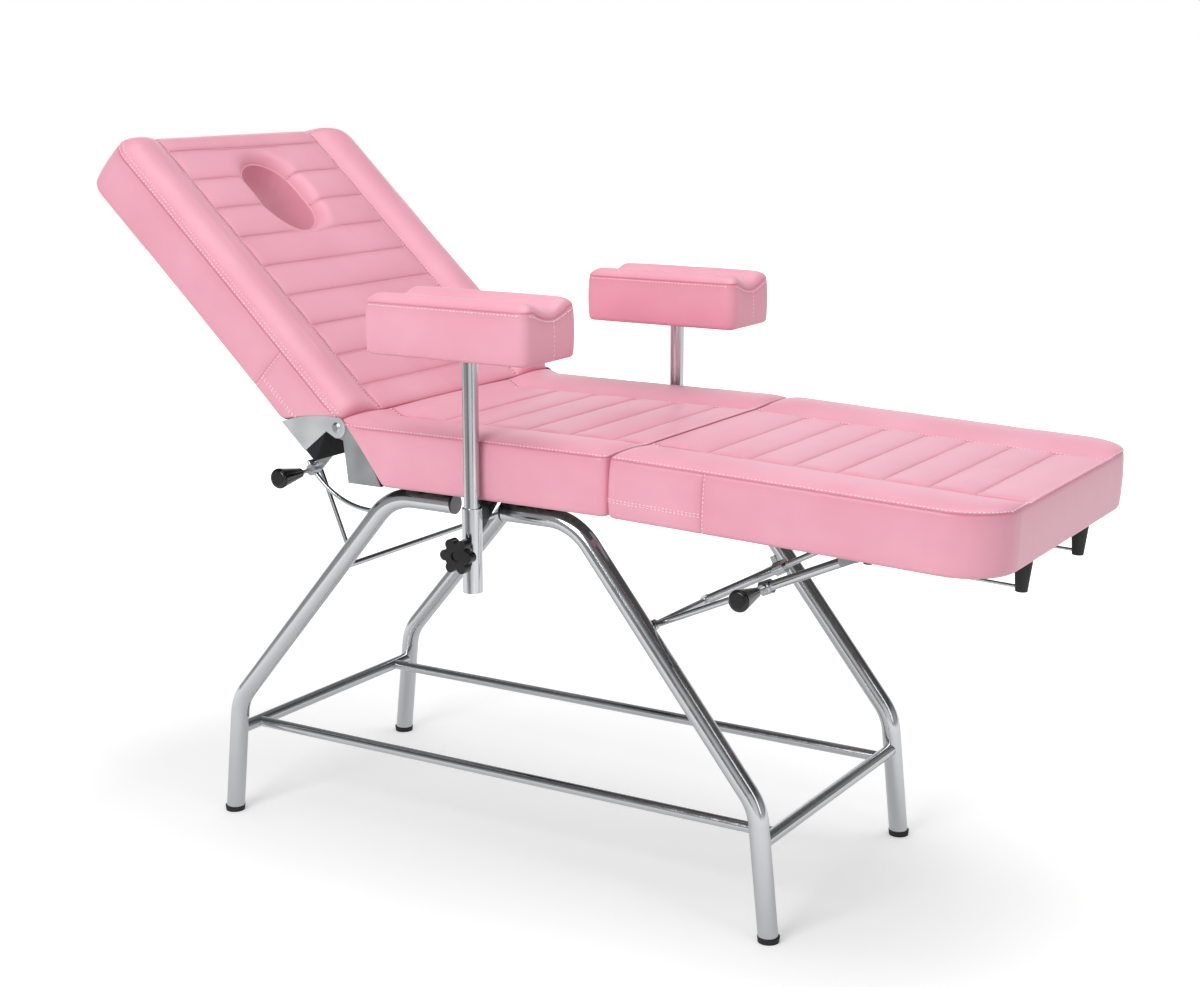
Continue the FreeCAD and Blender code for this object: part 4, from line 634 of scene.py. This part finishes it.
def line_hole(made):
    """Walls of the face hole, a little wavy, down to the pocket's ceiling."""
    cover, points, loop = made["cover"], made["points"], made["rings"][-1]
    rim = np.array([points[k] for k in loop])
    away = rim[:, :2] - np.array([HOLE_CENTRE, 0.0])
    straight = (HOLE_LENGTH - HOLE_WIDTH) / 2
    away[:, 0] = np.sign(away[:, 0]) * np.maximum(np.abs(away[:, 0]) - straight, 0)
    away = away / np.maximum(np.linalg.norm(away, axis=1, keepdims=True), 1e-6)
    turn = np.arctan2(away[:, 1], away[:, 0])
    walls = [loop]
    for share in HOLE_WALL_STEPS:
        z = rim[:, 2] * (1 - share) - cover.depth * share
        wave = 0.5 * np.sin(9 * turn + 3 * share) + 0.4 * np.sin(17 * turn - 5 * share)
        flare = HOLE_FLARE * max(0.0, (share - 0.6) / 0.4) ** 1.5
        out = ((HOLE_BELLY + wave) * math.sin(math.pi * share) + flare)[:, None]
        plan = rim[:, :2] + away * out
        walls.append(lay_loop(points, [(px, py, pz) for (px, py), pz in zip(plan, z)]))
    walls += lay_pocket(points, rim[:, :2] + away * HOLE_TURN_OUT, cover.depth)
    made["faces"] += bands(walls)
    made["hole_walls"], made["hole_end"], made["hole_away"] = walls, walls[-1], away
    return made


def cover_mesh(name, made):
    """The closed mesh in metres, without unused points."""
    mesh = new_mesh(name, made["points"], [], made["faces"])
    for label in ("pin", "seam"):
        values = np.array(made[label], np.float32)
        mesh.attributes.new(label, "FLOAT", "POINT").data.foreach_set("value", values)
    along = np.array(made["along"], np.float32)
    mesh.attributes.new("along", "FLOAT_VECTOR", "POINT").data.foreach_set("vector", along.ravel())
    work = bmesh.new()
    work.from_mesh(mesh)
    work.verts.ensure_lookup_table()
    loops = [made["pocket"]] + ([made["hole_end"]] if "hole_end" in made else [])
    rim_edges = []
    for loop in loops:
        for k in range(len(loop)):
            a, b = work.verts[loop[k]], work.verts[loop[(k + 1) % len(loop)]]
            rim_edges.append(work.edges.get((a, b)) or work.edges.new((a, b)))
    bmesh.ops.triangle_fill(work, edges=rim_edges, use_beauty=True)
    loose = [v for v in work.verts if not v.link_faces]
    bmesh.ops.delete(work, geom=loose, context="VERTS")
    bmesh.ops.recalc_face_normals(work, faces=work.faces)
    work.to_mesh(mesh)
    open_edges = sum(1 for e in work.edges if len(e.link_faces) != 2)
    work.free()
    print(name, "points", len(mesh.vertices), "open edges", open_edges)
    mesh.transform(Matrix.Scale(MM, 4))
    return mesh


# %% [markdown]
# ## Filling the covers
# The cloth simulation does what foam does to a sewn cover. Points on seams are
# pinned, because there the cover is stitched down to the backing. Everything else
# is pushed out by pressure, and cloth cut a little large wrinkles where it is held
# back. The moves are evened out and capped, so that each cushion keeps its measured
# size.

# %% Pins and seam weights
FAR = 999
SEAM_FADE, BOLSTER_FADE, EDGE_FADE, WALL_FADE, LINE_FADE = 4.5, 6, 7, 9, 10


def top_pins(gap):
    """Pins of the top panel: fast on a seam, half free beside it."""
    return np.where(gap < 0.6, 1.0, np.where(gap < 2.5, 0.5, 0.0)).ravel()


def weigh(made, wall_lines=()):
    """Give every point a pin from 0 to 1, a nearness to a seam, which sets the wrinkles and the
    painted shade along the seams, and a wrinkle direction.
    """
    cover, rings = made["cover"], made["rings"]
    p = np.array(made["points"])
    pin, seam = np.ones(len(p)), np.zeros(len(p))
    along = np.stack([p[:, 1], p[:, 0], p[:, 2]], -1) * MM
    u, across, index = made["grid"]
    flat = index.ravel()
    reach, side = np.abs(across), HALF_WIDTH - cover.bolster
    seam_gap = np.min([np.abs(u - s) for s in cover.seams], axis=0)
    seam_gap = np.where(reach <= 1.001, seam_gap, FAR)
    bolster_gap = np.where(reach > 1, (reach - 1) * side, np.abs(reach - 1) * cover.bolster)
    edge_gap = np.minimum(np.where(reach > 1, (2 - reach) * side, FAR),
                          np.minimum(u - cover.low, cover.high - u))
    pin[flat] = top_pins(np.minimum(np.minimum(seam_gap, bolster_gap), edge_gap))
    # Seam weight: it sets the wrinkles' bump and darkens the vinyl as painted shade along seams and
    # edges.
    weight = np.maximum(np.exp(-seam_gap / SEAM_FADE), np.exp(-bolster_gap / BOLSTER_FADE))
    seam[flat] = np.maximum(weight, 0.8 * np.exp(-edge_gap / EDGE_FADE)).ravel()
    lengthwise = flat[~(seam_gap < np.minimum(bolster_gap, edge_gap)).ravel()]
    along[lengthwise] = p[lengthwise] * MM
    for ring in rings:
        gap = np.min([np.abs(p[ring, 0] - s) for s in cover.seams], axis=0)
        pin[ring] = 1.0 if ring is rings[-1] else np.where(gap < 1.5, 0.9, 0.3)
        # Round the hole's lip too, for painted shade there.
        lip = 0.6 * np.exp(-np.abs(hole_distance(p[ring, 0], p[ring, 1])) / WALL_FADE)
        seam[ring] = np.maximum(np.exp(-gap / SEAM_FADE), lip)
    base = np.array([made["points"][k] for k in made["outline"]])
    for share, wall in zip(WALL_STEPS, made["walls"]):
        near = min(share, 1 - share) * cover.depth
        pin[wall] = 1.0 if near < 3 else 0.3
        # Near the walls' top and bottom edges too, for painted shade there.
        seam[wall] = 0.75 * math.exp(-near / WALL_FADE)
        along[wall] = np.stack([base[:, 0] + base[:, 1], base[:, 2] * 0, p[wall, 2]], -1) * MM
        for line_u in wall_lines:
            gap = np.abs(base[:, 0] - line_u)
            pin[np.array(wall)[gap < 1.2]] = 1.0
            seam[wall] = np.maximum(seam[wall], 0.7 * np.exp(-gap / LINE_FADE))
    made["pin"], made["seam"], made["along"] = pin, np.clip(seam, 0, 1), along
    return made


# %% Fill a cover
FRAMES, LOOSENESS, PRESSURE = 14, 0.008, 5.0
CLOTH = {"quality": 4, "mass": 0.25, "tension_stiffness": 12, "compression_stiffness": 12,
         "shear_stiffness": 8, "bending_stiffness": 3.0, "shrink_min": -LOOSENESS,
         "vertex_group_mass": "pins", "pin_stiffness": 1.0, "use_pressure": True,
         "uniform_pressure_force": PRESSURE}


def even_out(mesh, move, held, rounds=45):
    """Spread the moves over their neighbours, so that no grid line shows in the cover."""
    ends = np.zeros(len(mesh.edges) * 2, np.int64)
    mesh.edges.foreach_get("vertices", ends)
    a, b = ends.reshape(-1, 2).T
    free = (1 - held)[:, None]
    count = np.bincount(ends, minlength=len(mesh.vertices))[:, None]
    for number in range(rounds):
        near = np.zeros_like(move)
        np.add.at(near, a, move[b])
        np.add.at(near, b, move[a])
        move = free * (0.4 * move + 0.6 * near / np.maximum(count, 1)) + (1 - free) * move
    return move


def fill(piece, cap):
    """Run the cloth on a piece in metres and keep its moves within a cap in millimetres."""
    mesh = piece.data
    before = np.zeros(len(mesh.vertices) * 3)
    mesh.vertices.foreach_get("co", before)
    group = piece.vertex_groups.new(name="pins")
    pins = np.zeros(len(mesh.vertices), np.float32)
    mesh.attributes["pin"].data.foreach_get("value", pins)
    for level in np.unique(np.round(pins, 2)):
        group.add(np.nonzero(np.round(pins, 2) == level)[0].tolist(), float(level), "REPLACE")
    cloth = piece.modifiers.new("fill", "CLOTH")
    for name, value in CLOTH.items():
        setattr(cloth.settings, name, value)
    cloth.settings.effector_weights.gravity = 0
    cloth.collision_settings.use_collision = False
    cloth.point_cache.frame_start, cloth.point_cache.frame_end = 1, FRAMES
    scene = bpy.context.scene
    for number in range(1, FRAMES + 1):
        scene.frame_set(number)
    shaped = piece.evaluated_get(bpy.context.evaluated_depsgraph_get())
    after = np.zeros_like(before)
    shaped.data.vertices.foreach_get("co", after)
    piece.modifiers.remove(cloth)
    move = even_out(mesh, (after - before).reshape(-1, 3), pins)
    length = np.linalg.norm(move, axis=1, keepdims=True)
    limit = cap * MM
    kept = limit * np.tanh(length / limit) / np.maximum(length, 1e-9)
    move = move * np.where(length > 1e-9, kept, 1.0)
    mesh.vertices.foreach_set("co", (before.reshape(-1, 3) + move).ravel())
    mesh.update()
    scene.frame_set(1)
    print(piece.name, "filled: moved up to", round(float(length.max()) / MM, 1), "mm, kept", cap)


# %% [markdown]
# Now the three covers are cut, boxed, filled and smoothed. The fill works in the
# cover's own place; after it the mesh is moved to where the CAD cushion lies, so
# that the finished object itself stands unturned at the origin.

# %% Places of the cushions
HINGE = Vector((-0.294143, 0, 0.7304))
BACK_ANGLE, LEG_TILT = math.radians(42.64), math.radians(2.09)
SEAM_HEIGHT, BACK_SEAM_RISE = 0.7331, 0.0069
seat_place = Matrix.Translation((HINGE.x, 0, SEAM_HEIGHT))
back_place = (Matrix.Translation(HINGE) @ Matrix.Rotation(BACK_ANGLE, 4, "Y")
              @ Matrix.Translation((0, 0, BACK_SEAM_RISE)) @ Matrix.Scale(-1, 4, (1, 0, 0)))
leg_place = Matrix.Translation((0.213057, 0, SEAM_HEIGHT)) @ Matrix.Rotation(LEG_TILT, 4, "Y")


def bake(piece):
    """Turn a piece's modifiers into plain mesh."""
    shaped = piece.evaluated_get(bpy.context.evaluated_depsgraph_get())
    mesh = bpy.data.meshes.new_from_object(shaped)
    old = piece.data
    piece.modifiers.clear()
    piece.vertex_groups.clear()
    piece.data = mesh
    mesh.name = piece.name
    bpy.data.meshes.remove(old)


def place_piece(piece, place):
    piece.data.transform(place)
    if place.determinant() < 0:
        piece.data.flip_normals()
    piece.data.shade_smooth()
    return piece


def finish_cover(name, made, place, cap):
    """Fill, smooth and place a cover: returns it and a tree of its surface before placing."""
    piece = link(cover_mesh(name, made), upholstery_vinyl)
    fill(piece, cap)
    piece.modifiers.new("smooth", "SUBSURF").render_levels = 1
    bake(piece)
    surface = BVHTree.FromObject(piece, bpy.context.evaluated_depsgraph_get())
    place_piece(piece, place)
    print(name, "faces", len(piece.data.polygons))
    return piece, surface


def upholster(name, cover, place, wall_seams=()):
    """Make one long cushion: returns it, its surface and what it was made from."""
    made = hang_boxing(lay_out(cover, wall_seams), wall_seams=wall_seams)
    if cover.hole:
        line_hole(made)
    return (*finish_cover(name, weigh(made, wall_seams), place, 3.0), made)


# %% Seat, backrest and leg rest
SEAT_SEAMS = (112.0, 193.0, 273.0, 355.0, 435.0)
BACK_SEAMS = tuple(60.5 + 68.5 * k for k in range(9))
LEG_SEAMS = tuple(95.0 + 71.4 * k for k in range(7))
BACK_WALL_SEAM, LEG_WALL_SEAM = 162.0, 160.0
seat_cover = Cover(4.4, 503.3, 91.6, 8.5, -4.0, 175.0, SEAT_SEAMS, (12.0, 14.0), climb=10.0)
back_cover = Cover(4.4, 646.5, 84.0, 22.5, 5.0, 203.0, BACK_SEAMS, (12.0, 45.0), climb=6.0,
                   hole=True)
leg_cover = Cover(0.0, 609.3, 91.6, 8.5, -4.0, 175.0, LEG_SEAMS, (14.0, 85.0))
seat, seat_surface, _ = upholster("seat_upholstery", seat_cover, seat_place)
back, back_surface, back_made = upholster("backrest_upholstery", back_cover, back_place,
                                          (BACK_WALL_SEAM,))
leg, leg_surface, _ = upholster("leg_rest_upholstery", leg_cover, leg_place,
                                       (LEG_WALL_SEAM,))


# %% [markdown]
# The arm pads are small boxes of the same make: a crown along each long edge and a
# shallow trough between them for the forearm, which runs out through the ends.

# %% Arm pads
PAD_HALF_WIDTH, PAD_LENGTH, PAD_DEPTH = 71.5, 295.0, 80.4
PAD_CREST, PAD_TROUGH, PAD_TROUGH_EDGE, PAD_CREST_SHARE = 12.0, 14.0, 38.0, 0.72
PAD_END_DIP, PAD_END_ROLL, PAD_CORNER = 15.0, 18.0, 16.0
PAD_END_X = -170.243


def end_dip(y):
    """How far the seam of a pad's end lies below the seam of its sides."""
    share = np.clip(np.abs(y) / (0.92 * PAD_HALF_WIDTH), 0, 1)
    return PAD_END_DIP * np.cos(share * np.pi / 2) ** 1.4


class Pad(Cover):
    """An arm pad, with u along it and its seam plane at the top of the walls."""

    def half_width(self, u):
        return self.round_corners(u, PAD_HALF_WIDTH + 0.0 * u)

    def top(self, u, across):
        across = np.abs(across)
        side = self.bolster + (across - 1) * (PAD_HALF_WIDTH - self.bolster)
        y = np.where(across <= 1, across * self.bolster, side)
        q = y / PAD_HALF_WIDTH
        outer = np.clip((q - PAD_CREST_SHARE) / (1 - PAD_CREST_SHARE), 0, 1)
        trough = np.cos(np.clip(q / PAD_CREST_SHARE, 0, 1) * np.pi / 2) ** 2
        crown = self.crest * (1 - outer ** 2.2) ** 0.8 - self.groove * trough
        lid = 1.0
        for run in (u - self.low, self.high - u):
            lid = lid * quarter_round(np.clip(run / PAD_END_ROLL, 0, 1))
        return crown * lid - end_dip(y) * (1 - lid)


def weigh_pad(made):
    """A pad has no seam but its outer one, so its top is free to swell."""
    u, across, index = made["grid"]
    side = (2 - np.abs(across)) * (PAD_HALF_WIDTH - PAD_TROUGH_EDGE)
    edge = np.minimum(side, np.minimum(u, PAD_LENGTH - u))
    made["pin"][index.ravel()] = top_pins(edge)
    # The seam weight also darkens the vinyl along the outer seam, as painted shade.
    made["seam"][index.ravel()] = 0.7 * np.exp(-edge / SEAM_FADE).ravel()
    return made


pad_cover = Pad(0.0, PAD_LENGTH, PAD_DEPTH, PAD_CREST, PAD_TROUGH, PAD_TROUGH_EDGE, (),
                (PAD_CORNER, PAD_CORNER))
pads = {}
for side, y, bottom in (("near", -324.8, 870.8), ("far", 324.8, 849.9)):
    pad_place = Matrix.Translation(Vector((PAD_END_X, y, bottom + PAD_DEPTH)) * MM)
    made = weigh_pad(weigh(hang_boxing(lay_out(pad_cover), belly=2.4)))
    name = "arm_pad_" + side + "_upholstery"
    pads[side] = (*finish_cover(name, made, pad_place, 1.6), pad_place)
print("pads made:", ", ".join(pads))


# %% [markdown]
# The face hole is lined with a separate strip of the vinyl, a tone darker as painted
# shade because it lies in shade, and finished with a thin welt where the strip meets the panel.

# %% Face hole lining and welt
WELT_RADIUS, WELT_SIDES = 1.9, 10


def loop_tube(name, loops, material):
    """A closed band of quads through loops of points in millimetres, on the backrest."""
    points = [tuple(p) for loop in loops for p in loop]
    count, sections = len(loops[0]), len(loops)
    faces = []
    for s in range(sections):
        for k in range(count):
            a, b = s * count + k, s * count + (k + 1) % count
            below = (s + 1) % sections * count
            faces.append((a, b, below + (k + 1) % count, below + k))
    mesh = new_mesh(name, points, [], faces)
    mesh.transform(Matrix.Scale(MM, 4))
    work = bmesh.new()
    work.from_mesh(mesh)
    bmesh.ops.recalc_face_normals(work, faces=work.faces)
    work.to_mesh(mesh)
    work.free()
    return place_piece(link(mesh, material), back_place)


away = back_made["hole_away"]
rings = [np.array([back_made["points"][k] for k in wall]) for wall in back_made["hole_walls"][:-1]]
inner, outer = ([np.column_stack([ring[:, :2] - away * gap, ring[:, 2]]) for ring in rings]
                for gap in (1.5, 0.3))
hole_lining = loop_tube("face_hole_lining", inner + outer[::-1], shaded_hole_vinyl)
sections = []
for step in range(WELT_SIDES):
    turn = 2 * math.pi * step / WELT_SIDES
    sections.append(np.column_stack([rings[0][:, :2] - away * (0.6 + WELT_RADIUS * math.cos(turn)),
                                     rings[0][:, 2] + 0.8 + WELT_RADIUS * math.sin(turn)]))
hole_welt = loop_tube("face_hole_welt", sections, upholstery_vinyl)
print("hole lining and welt:", len(hole_lining.data.polygons), len(hole_welt.data.polygons))


# %% [markdown]
# ## Stitching
# Each line of stitches is drawn as a polyline laid on the filled surface, and a
# Geometry Nodes tree sews along it: it cuts the line at the stitch pitch and sets
# a thread there, turned along the seam, a little uneven as a real machine leaves it.
# The thread is drawn two to three times as thick as real thread, so that it shows.

# %% The stitch tree
STITCH_PITCH, STITCH_LENGTH, THREAD_RADIUS = 6.4, 4.8, 0.95
UNEVEN = 0.1


def named_input(tree, name, kind, value=None):
    """Give the tree an input and return its identifier."""
    socket = tree.interface.new_socket(name=name, in_out="INPUT", socket_type=kind)
    if value is not None:
        socket.default_value = value
    return socket.identifier


tree = stitch_tree = bpy.data.node_groups.new("sew_along", "GeometryNodeTree")
named_input(tree, "Geometry", "NodeSocketGeometry")
named_input(tree, "Pitch", "NodeSocketFloat", STITCH_PITCH * MM)
named_input(tree, "Length", "NodeSocketFloat", STITCH_LENGTH * MM)
named_input(tree, "Thread radius", "NodeSocketFloat", THREAD_RADIUS * MM)
THREAD_ID = named_input(tree, "Thread", "NodeSocketMaterial")
tree.interface.new_socket(name="Geometry", in_out="OUTPUT", socket_type="NodeSocketGeometry")
given = add(tree, "NodeGroupInput").outputs
line = add(tree, "GeometryNodeMeshToCurve", i0=given["Geometry"])
cut = add(tree, "GeometryNodeResampleCurve", {"mode": "LENGTH"}, Curve=line,
          Length=given["Pitch"])
thread = add(tree, "GeometryNodeMeshUVSphere", Segments=6, Rings=4, Radius=1.0)
half = add(tree, "ShaderNodeMath", {"operation": "MULTIPLY"}, i0=given["Length"], i1=0.5)
size = add(tree, "ShaderNodeCombineXYZ", X=half, Y=given["Thread radius"],
           Z=given["Thread radius"])
one = add(tree, "GeometryNodeTransform", Geometry=thread, Scale=size)
tangent = add(tree, "GeometryNodeInputTangent")
turned = add(tree, "FunctionNodeAlignRotationToVector", {"axis": "X"}, Vector=tangent)
uneven = add(tree, "FunctionNodeRandomValue", {"data_type": "FLOAT"}, Seed=7,
             i2=1 - UNEVEN, i3=1 + UNEVEN)
sewn = add(tree, "GeometryNodeInstanceOnPoints", Points=cut, Instance=one,
           Rotation=turned, Scale=uneven.outputs[1])
real = add(tree, "GeometryNodeRealizeInstances", Geometry=sewn)
smoothed = add(tree, "GeometryNodeSetShadeSmooth", Geometry=real)
dyed = add(tree, "GeometryNodeSetMaterial", Geometry=smoothed, Material=given["Thread"])
add(tree, "NodeGroupOutput", Geometry=dyed)
print("stitch tree nodes:", len(stitch_tree.nodes))

# %% Lay the stitch lines
STITCH_LIFT = 0.3
OUTSIDE = 400


def drop_on(surface, points, direction=(0, 0, -1), back=0.3):
    """Points in millimetres thrown onto a surface, in runs that a miss parts."""
    aim = Vector(direction).normalized()
    found = []
    for point in points:
        hit, normal, _, _ = surface.ray_cast(Vector(point) * MM - aim * back, aim)
        if hit is not None:
            if normal.dot(aim) > 0:
                normal = -normal
            found.append(hit + normal * STITCH_LIFT * MM)
        elif found:
            yield found
            found = []
    if found:
        yield found


def steps(start, end, pitch=4.0):
    count = max(int(abs(end - start) / pitch), 2)
    return [start + (end - start) * k / count for k in range(count + 1)]


def sew(name, lines, place):
    """One object of stitches along polylines given in a cover's own place."""
    points, edges = [], []
    for line in lines:
        if len(line) > 1:
            edges += [(len(points) + k, len(points) + k + 1) for k in range(len(line) - 1)]
            points += [tuple(place @ Vector(p)) for p in line]
    piece = link(new_mesh(name, points, edges, []))
    sewing = piece.modifiers.new("sew", "NODES")
    sewing.node_group = stitch_tree
    sewing[THREAD_ID] = sewing_thread
    bake(piece)
    print(name, "lines", len(lines), "faces", len(piece.data.polygons))
    return piece


def outline_line(cover, inset):
    """Points at an inset inside a cover's outer seam: near side, far end, far side."""
    low, high = cover.low + 12, cover.high - inset
    near = [(u, -(cover.half_width(np.float64(u)) - inset), 0) for u in steps(low, high)]
    far = [(u, -y, z) for u, y, z in reversed(near)]
    width = float(cover.half_width(np.float64(high))) - inset
    end = [(high, y, 0) for y in steps(-width, width)]
    return near, end, far


def cover_lines(cover, surface, edge_insets, bolster_offsets):
    """Stitch lines of a long cushion's top: channels, bolster seams and outer seams."""
    lines = []
    for u in cover.seams[1:-1]:
        lines += drop_on(surface, [(u, y, 0) for y in steps(-cover.bolster + 2, cover.bolster - 2)])
    for side in (-1, 1):
        for offset in bolster_offsets:
            lines += drop_on(surface, [(u, side * (cover.bolster + offset), 0)
                                       for u in steps(cover.low + 4, cover.high - 4)])
    for inset in edge_insets:
        aims = (0, 1, -1), (-1, 0, -1), (0, -1, -1)
        for run, aim in zip(outline_line(cover, inset), aims):
            lines += drop_on(surface, run, aim)
    return lines


seat_lines = cover_lines(seat_cover, seat_surface, (5.0,), (3.0,))
back_lines = cover_lines(back_cover, back_surface, (5.0, 14.0), (-3.0, 3.0))
leg_lines = cover_lines(leg_cover, leg_surface, (5.0,), (3.0,))
# Beside each seam of a wall runs a line down it, and two hems from the joint to it.
for lines, surface, seam, beside, low, joint, hems in (
        (leg_lines, leg_surface, LEG_WALL_SEAM, 3, 88, 3, (61.0, 65.0)),
        (back_lines, back_surface, BACK_WALL_SEAM, -3, 80, 70, (56.0, 60.0))):
    for side in (-1, 1):
        runs = [[(seam + beside, side * OUTSIDE, -z) for z in steps(3, low)]]
        runs += [[(u, side * OUTSIDE, -hem) for u in steps(joint, seam - 4)] for hem in hems]
        for run in runs:
            lines += drop_on(surface, run, (0, -side, 0), 0)
seat_stitches = sew("seat_stitching", seat_lines, seat_place)
back_stitches = sew("backrest_stitching", back_lines, back_place)
leg_stitches = sew("leg_rest_stitching", leg_lines, leg_place)
pad_stitches = {}
for name, (piece, surface, pad_place) in pads.items():
    lines = []
    for side in (-1, 1):
        run = [(u, side * OUTSIDE, -4.0) for u in steps(14, 281)]
        lines += drop_on(surface, run, (0, -side, 0), 0)
    for u, aim in ((-OUTSIDE, (1, 0, 0)), (OUTSIDE, (-1, 0, 0))):
        ends = [(u, y, -4.0 - float(end_dip(y))) for y in steps(-57, 57)]
        end_seam = [(u, 4.0, -z) for z in steps(PAD_END_DIP + 6, PAD_DEPTH - 4)]
        lines += drop_on(surface, ends, aim, 0)
        lines += drop_on(surface, end_seam, aim, 0)
    pad_stitches[name] = sew("arm_pad_" + name + "_stitching", lines, pad_place)


# %% [markdown]
# ## Hand the pieces over
# Each soft piece rides the body that its CAD solid belongs to and stands for that
# solid. The stitches ride along.

# %% Rides and replacements
for piece, body, node in ((seat, "frame", "seat_cushion"), (back, "backrest", "back_cushion"),
                          (leg, "leg_rest", "leg_cushion"),
                          (pads["near"][0], "arm_near", "arm_pad_near"),
                          (pads["far"][0], "arm_far", "arm_pad_far")):
    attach(piece, body)
    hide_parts(node)
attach(hole_lining, "backrest")
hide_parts("face_hole_liner")
riders = ((hole_welt, "backrest"), (seat_stitches, "frame"), (back_stitches, "backrest"),
          (leg_stitches, "leg_rest"), (pad_stitches["near"], "arm_near"),
          (pad_stitches["far"], "arm_far"))
for piece, body in riders:
    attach(piece, body)
print("padded pieces and lining placed, and", len(riders), "more ride along")


# %% [markdown]
# ## Stage, light and camera
# The floor is a plain matt white. Seen by the camera or in a mirror it gets a
# little light of its own, more with the distance, so that it reads as paper white
# and still keeps the soft shadow under the chair. The world is white to the camera
# and a dimmer, graded room to everything else: chrome needs dark zones to look like
# chrome.

# %% Floor and world
GLOW_NEAR, GLOW_FAR = 0.27, 1.0
GLOW_FROM, GLOW_TO = 0.9, 2.6
MIRRORED_GLOW = 0.45
CAMERA_COMPASS = math.radians(58.6)
floor_mesh = new_mesh("studio_floor", [(-8, -1.9, 0), (8, -1.9, 0), (8, 14, 0), (-8, 14, 0)], [],
                      [(0, 1, 2, 3)])
floor_finish, tree, shader, place = new_material("studio_floor_white")
path = add(tree, "ShaderNodeLightPath").outputs
mirrored = add(tree, "ShaderNodeMath", {"operation": "MULTIPLY"}, i0=path["Is Glossy Ray"],
               i1=MIRRORED_GLOW)
seen = add(tree, "ShaderNodeMath", {"operation": "MAXIMUM"}, i0=path["Is Camera Ray"], i1=mirrored)
seen = add(tree, "ShaderNodeMath", {"operation": "MAXIMUM"}, i0=seen,
           i1=path["Is Transmission Ray"])
away = add(tree, "ShaderNodeVectorMath", {"operation": "LENGTH"}, i0=place).outputs["Value"]
far = add(tree, "ShaderNodeMapRange", Value=away, From_Min=GLOW_FROM, From_Max=GLOW_TO,
          To_Min=GLOW_NEAR, To_Max=GLOW_FAR)
glow = add(tree, "ShaderNodeMath", {"operation": "MULTIPLY"}, i0=seen, i1=far)
plug(tree, shader, Base_Color=colour("#f2f2f2"), Roughness=0.9, Specular_IOR_Level=0.1,
     Emission_Color=(1, 1, 1, 1), Emission_Strength=glow)
floor = link(floor_mesh, floor_finish)
floor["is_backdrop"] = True

world = bpy.data.worlds.new("studio_room")
bpy.context.scene.world = world
world.use_nodes = True
tree = world.node_tree
path = add(tree, "ShaderNodeLightPath").outputs
seen = add(tree, "ShaderNodeMath", {"operation": "MAXIMUM"}, i0=path["Is Camera Ray"],
           i1=path["Is Transmission Ray"])
direction = add(tree, "ShaderNodeTexCoord").outputs["Generated"]
split = add(tree, "ShaderNodeSeparateXYZ", Vector=direction).outputs
height = ramp(tree, split["Z"], (0.0, 1.0), (0.25, 0.9), (0.5, 0.15), (0.75, 0.3))
facing = add(tree, "ShaderNodeVectorRotate", {"rotation_type": "Z_AXIS"}, Vector=direction,
             Angle=CAMERA_COMPASS)
round_room = add(tree, "ShaderNodeSeparateXYZ", Vector=facing).outputs
compass = add(tree, "ShaderNodeMath", {"operation": "ARCTAN2"}, i0=round_room["Y"],
              i1=round_room["X"])
turn = add(tree, "ShaderNodeMath", {"operation": "MULTIPLY_ADD"}, i0=compass, i1=0.5 / math.pi,
           i2=0.5)
room = ramp(tree, turn, (0.0, 1.0), (0.1, 0.9), (0.17, 0.35), (0.3, 0.5), (0.41, 0.2),
            (0.46, 0.85), (0.53, 0.95), (0.58, 0.34), (0.7, 0.55), (0.82, 0.26), (0.91, 0.8),
            (1.0, 1.0))
mirror = add(tree, "ShaderNodeMix", {"data_type": "RGBA", "blend_type": "MULTIPLY"},
             Factor=1.0, i6=height, i7=room)
side = add(tree, "ShaderNodeMath", {"operation": "MULTIPLY_ADD"}, i0=split["X"], i1=0.5, i2=0.5)
ambient = ramp(tree, side, (0.15, 0.74), (0.85, 0.42))
for_gloss = add(tree, "ShaderNodeMix", {"data_type": "RGBA"}, Factor=path["Is Glossy Ray"],
                i6=ambient, i7=mirror.outputs[2])
shown = add(tree, "ShaderNodeMix", {"data_type": "RGBA"}, Factor=seen,
            i6=for_gloss.outputs[2], i7=(1, 1, 1, 1))
plug(tree, tree.nodes["Background"], Color=shown.outputs[2], Strength=1.0)
print("stage nodes:", len(floor_finish.node_tree.nodes), len(tree.nodes))


# %% Lights and camera
def lamp(name, place, target, size, power, height=None):
    """A rectangular softbox that points at a target."""
    data = bpy.data.lights.new(name, "AREA")
    data.shape, data.size, data.size_y = "RECTANGLE", size, height or size
    data.energy = power
    light = link(data)
    light.location = place
    light.rotation_euler = (Vector(target) - Vector(place)).to_track_quat("-Z", "Y").to_euler()


lamp("key_softbox", (-0.3, -3.6, 2.4), (0, 0, 0.7), 1.8, 66, 2.0)
lamp("top_softbox", (0.7, 0.3, 3.6), (0, 0, 0.7), 2.4, 45)
lamp("right_strip", (3.4, -1.2, 1.6), (0.2, 0, 0.6), 0.7, 9, 2.4)

CAMERA_PLACE, CAMERA_TURN, CAMERA_DIP = (1.71876, -2.8215, 1.3235), 0.5440, 0.2164
camera_data = bpy.data.cameras.new("camera")
camera_data.lens, camera_data.sensor_width = 60.48, 36.0
camera = link(camera_data)
camera.location = CAMERA_PLACE
camera.rotation_euler = (math.pi / 2 - CAMERA_DIP, 0, CAMERA_TURN)
bpy.context.scene.camera = camera
bpy.context.scene.view_settings.view_transform = "Standard"

# %% Sizes
visual_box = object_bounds()
for name, box in (("CAD", cad_box), ("visual", visual_box)):
    print(name, [round(1000 * (b - a), 1) for a, b in zip(*box)])
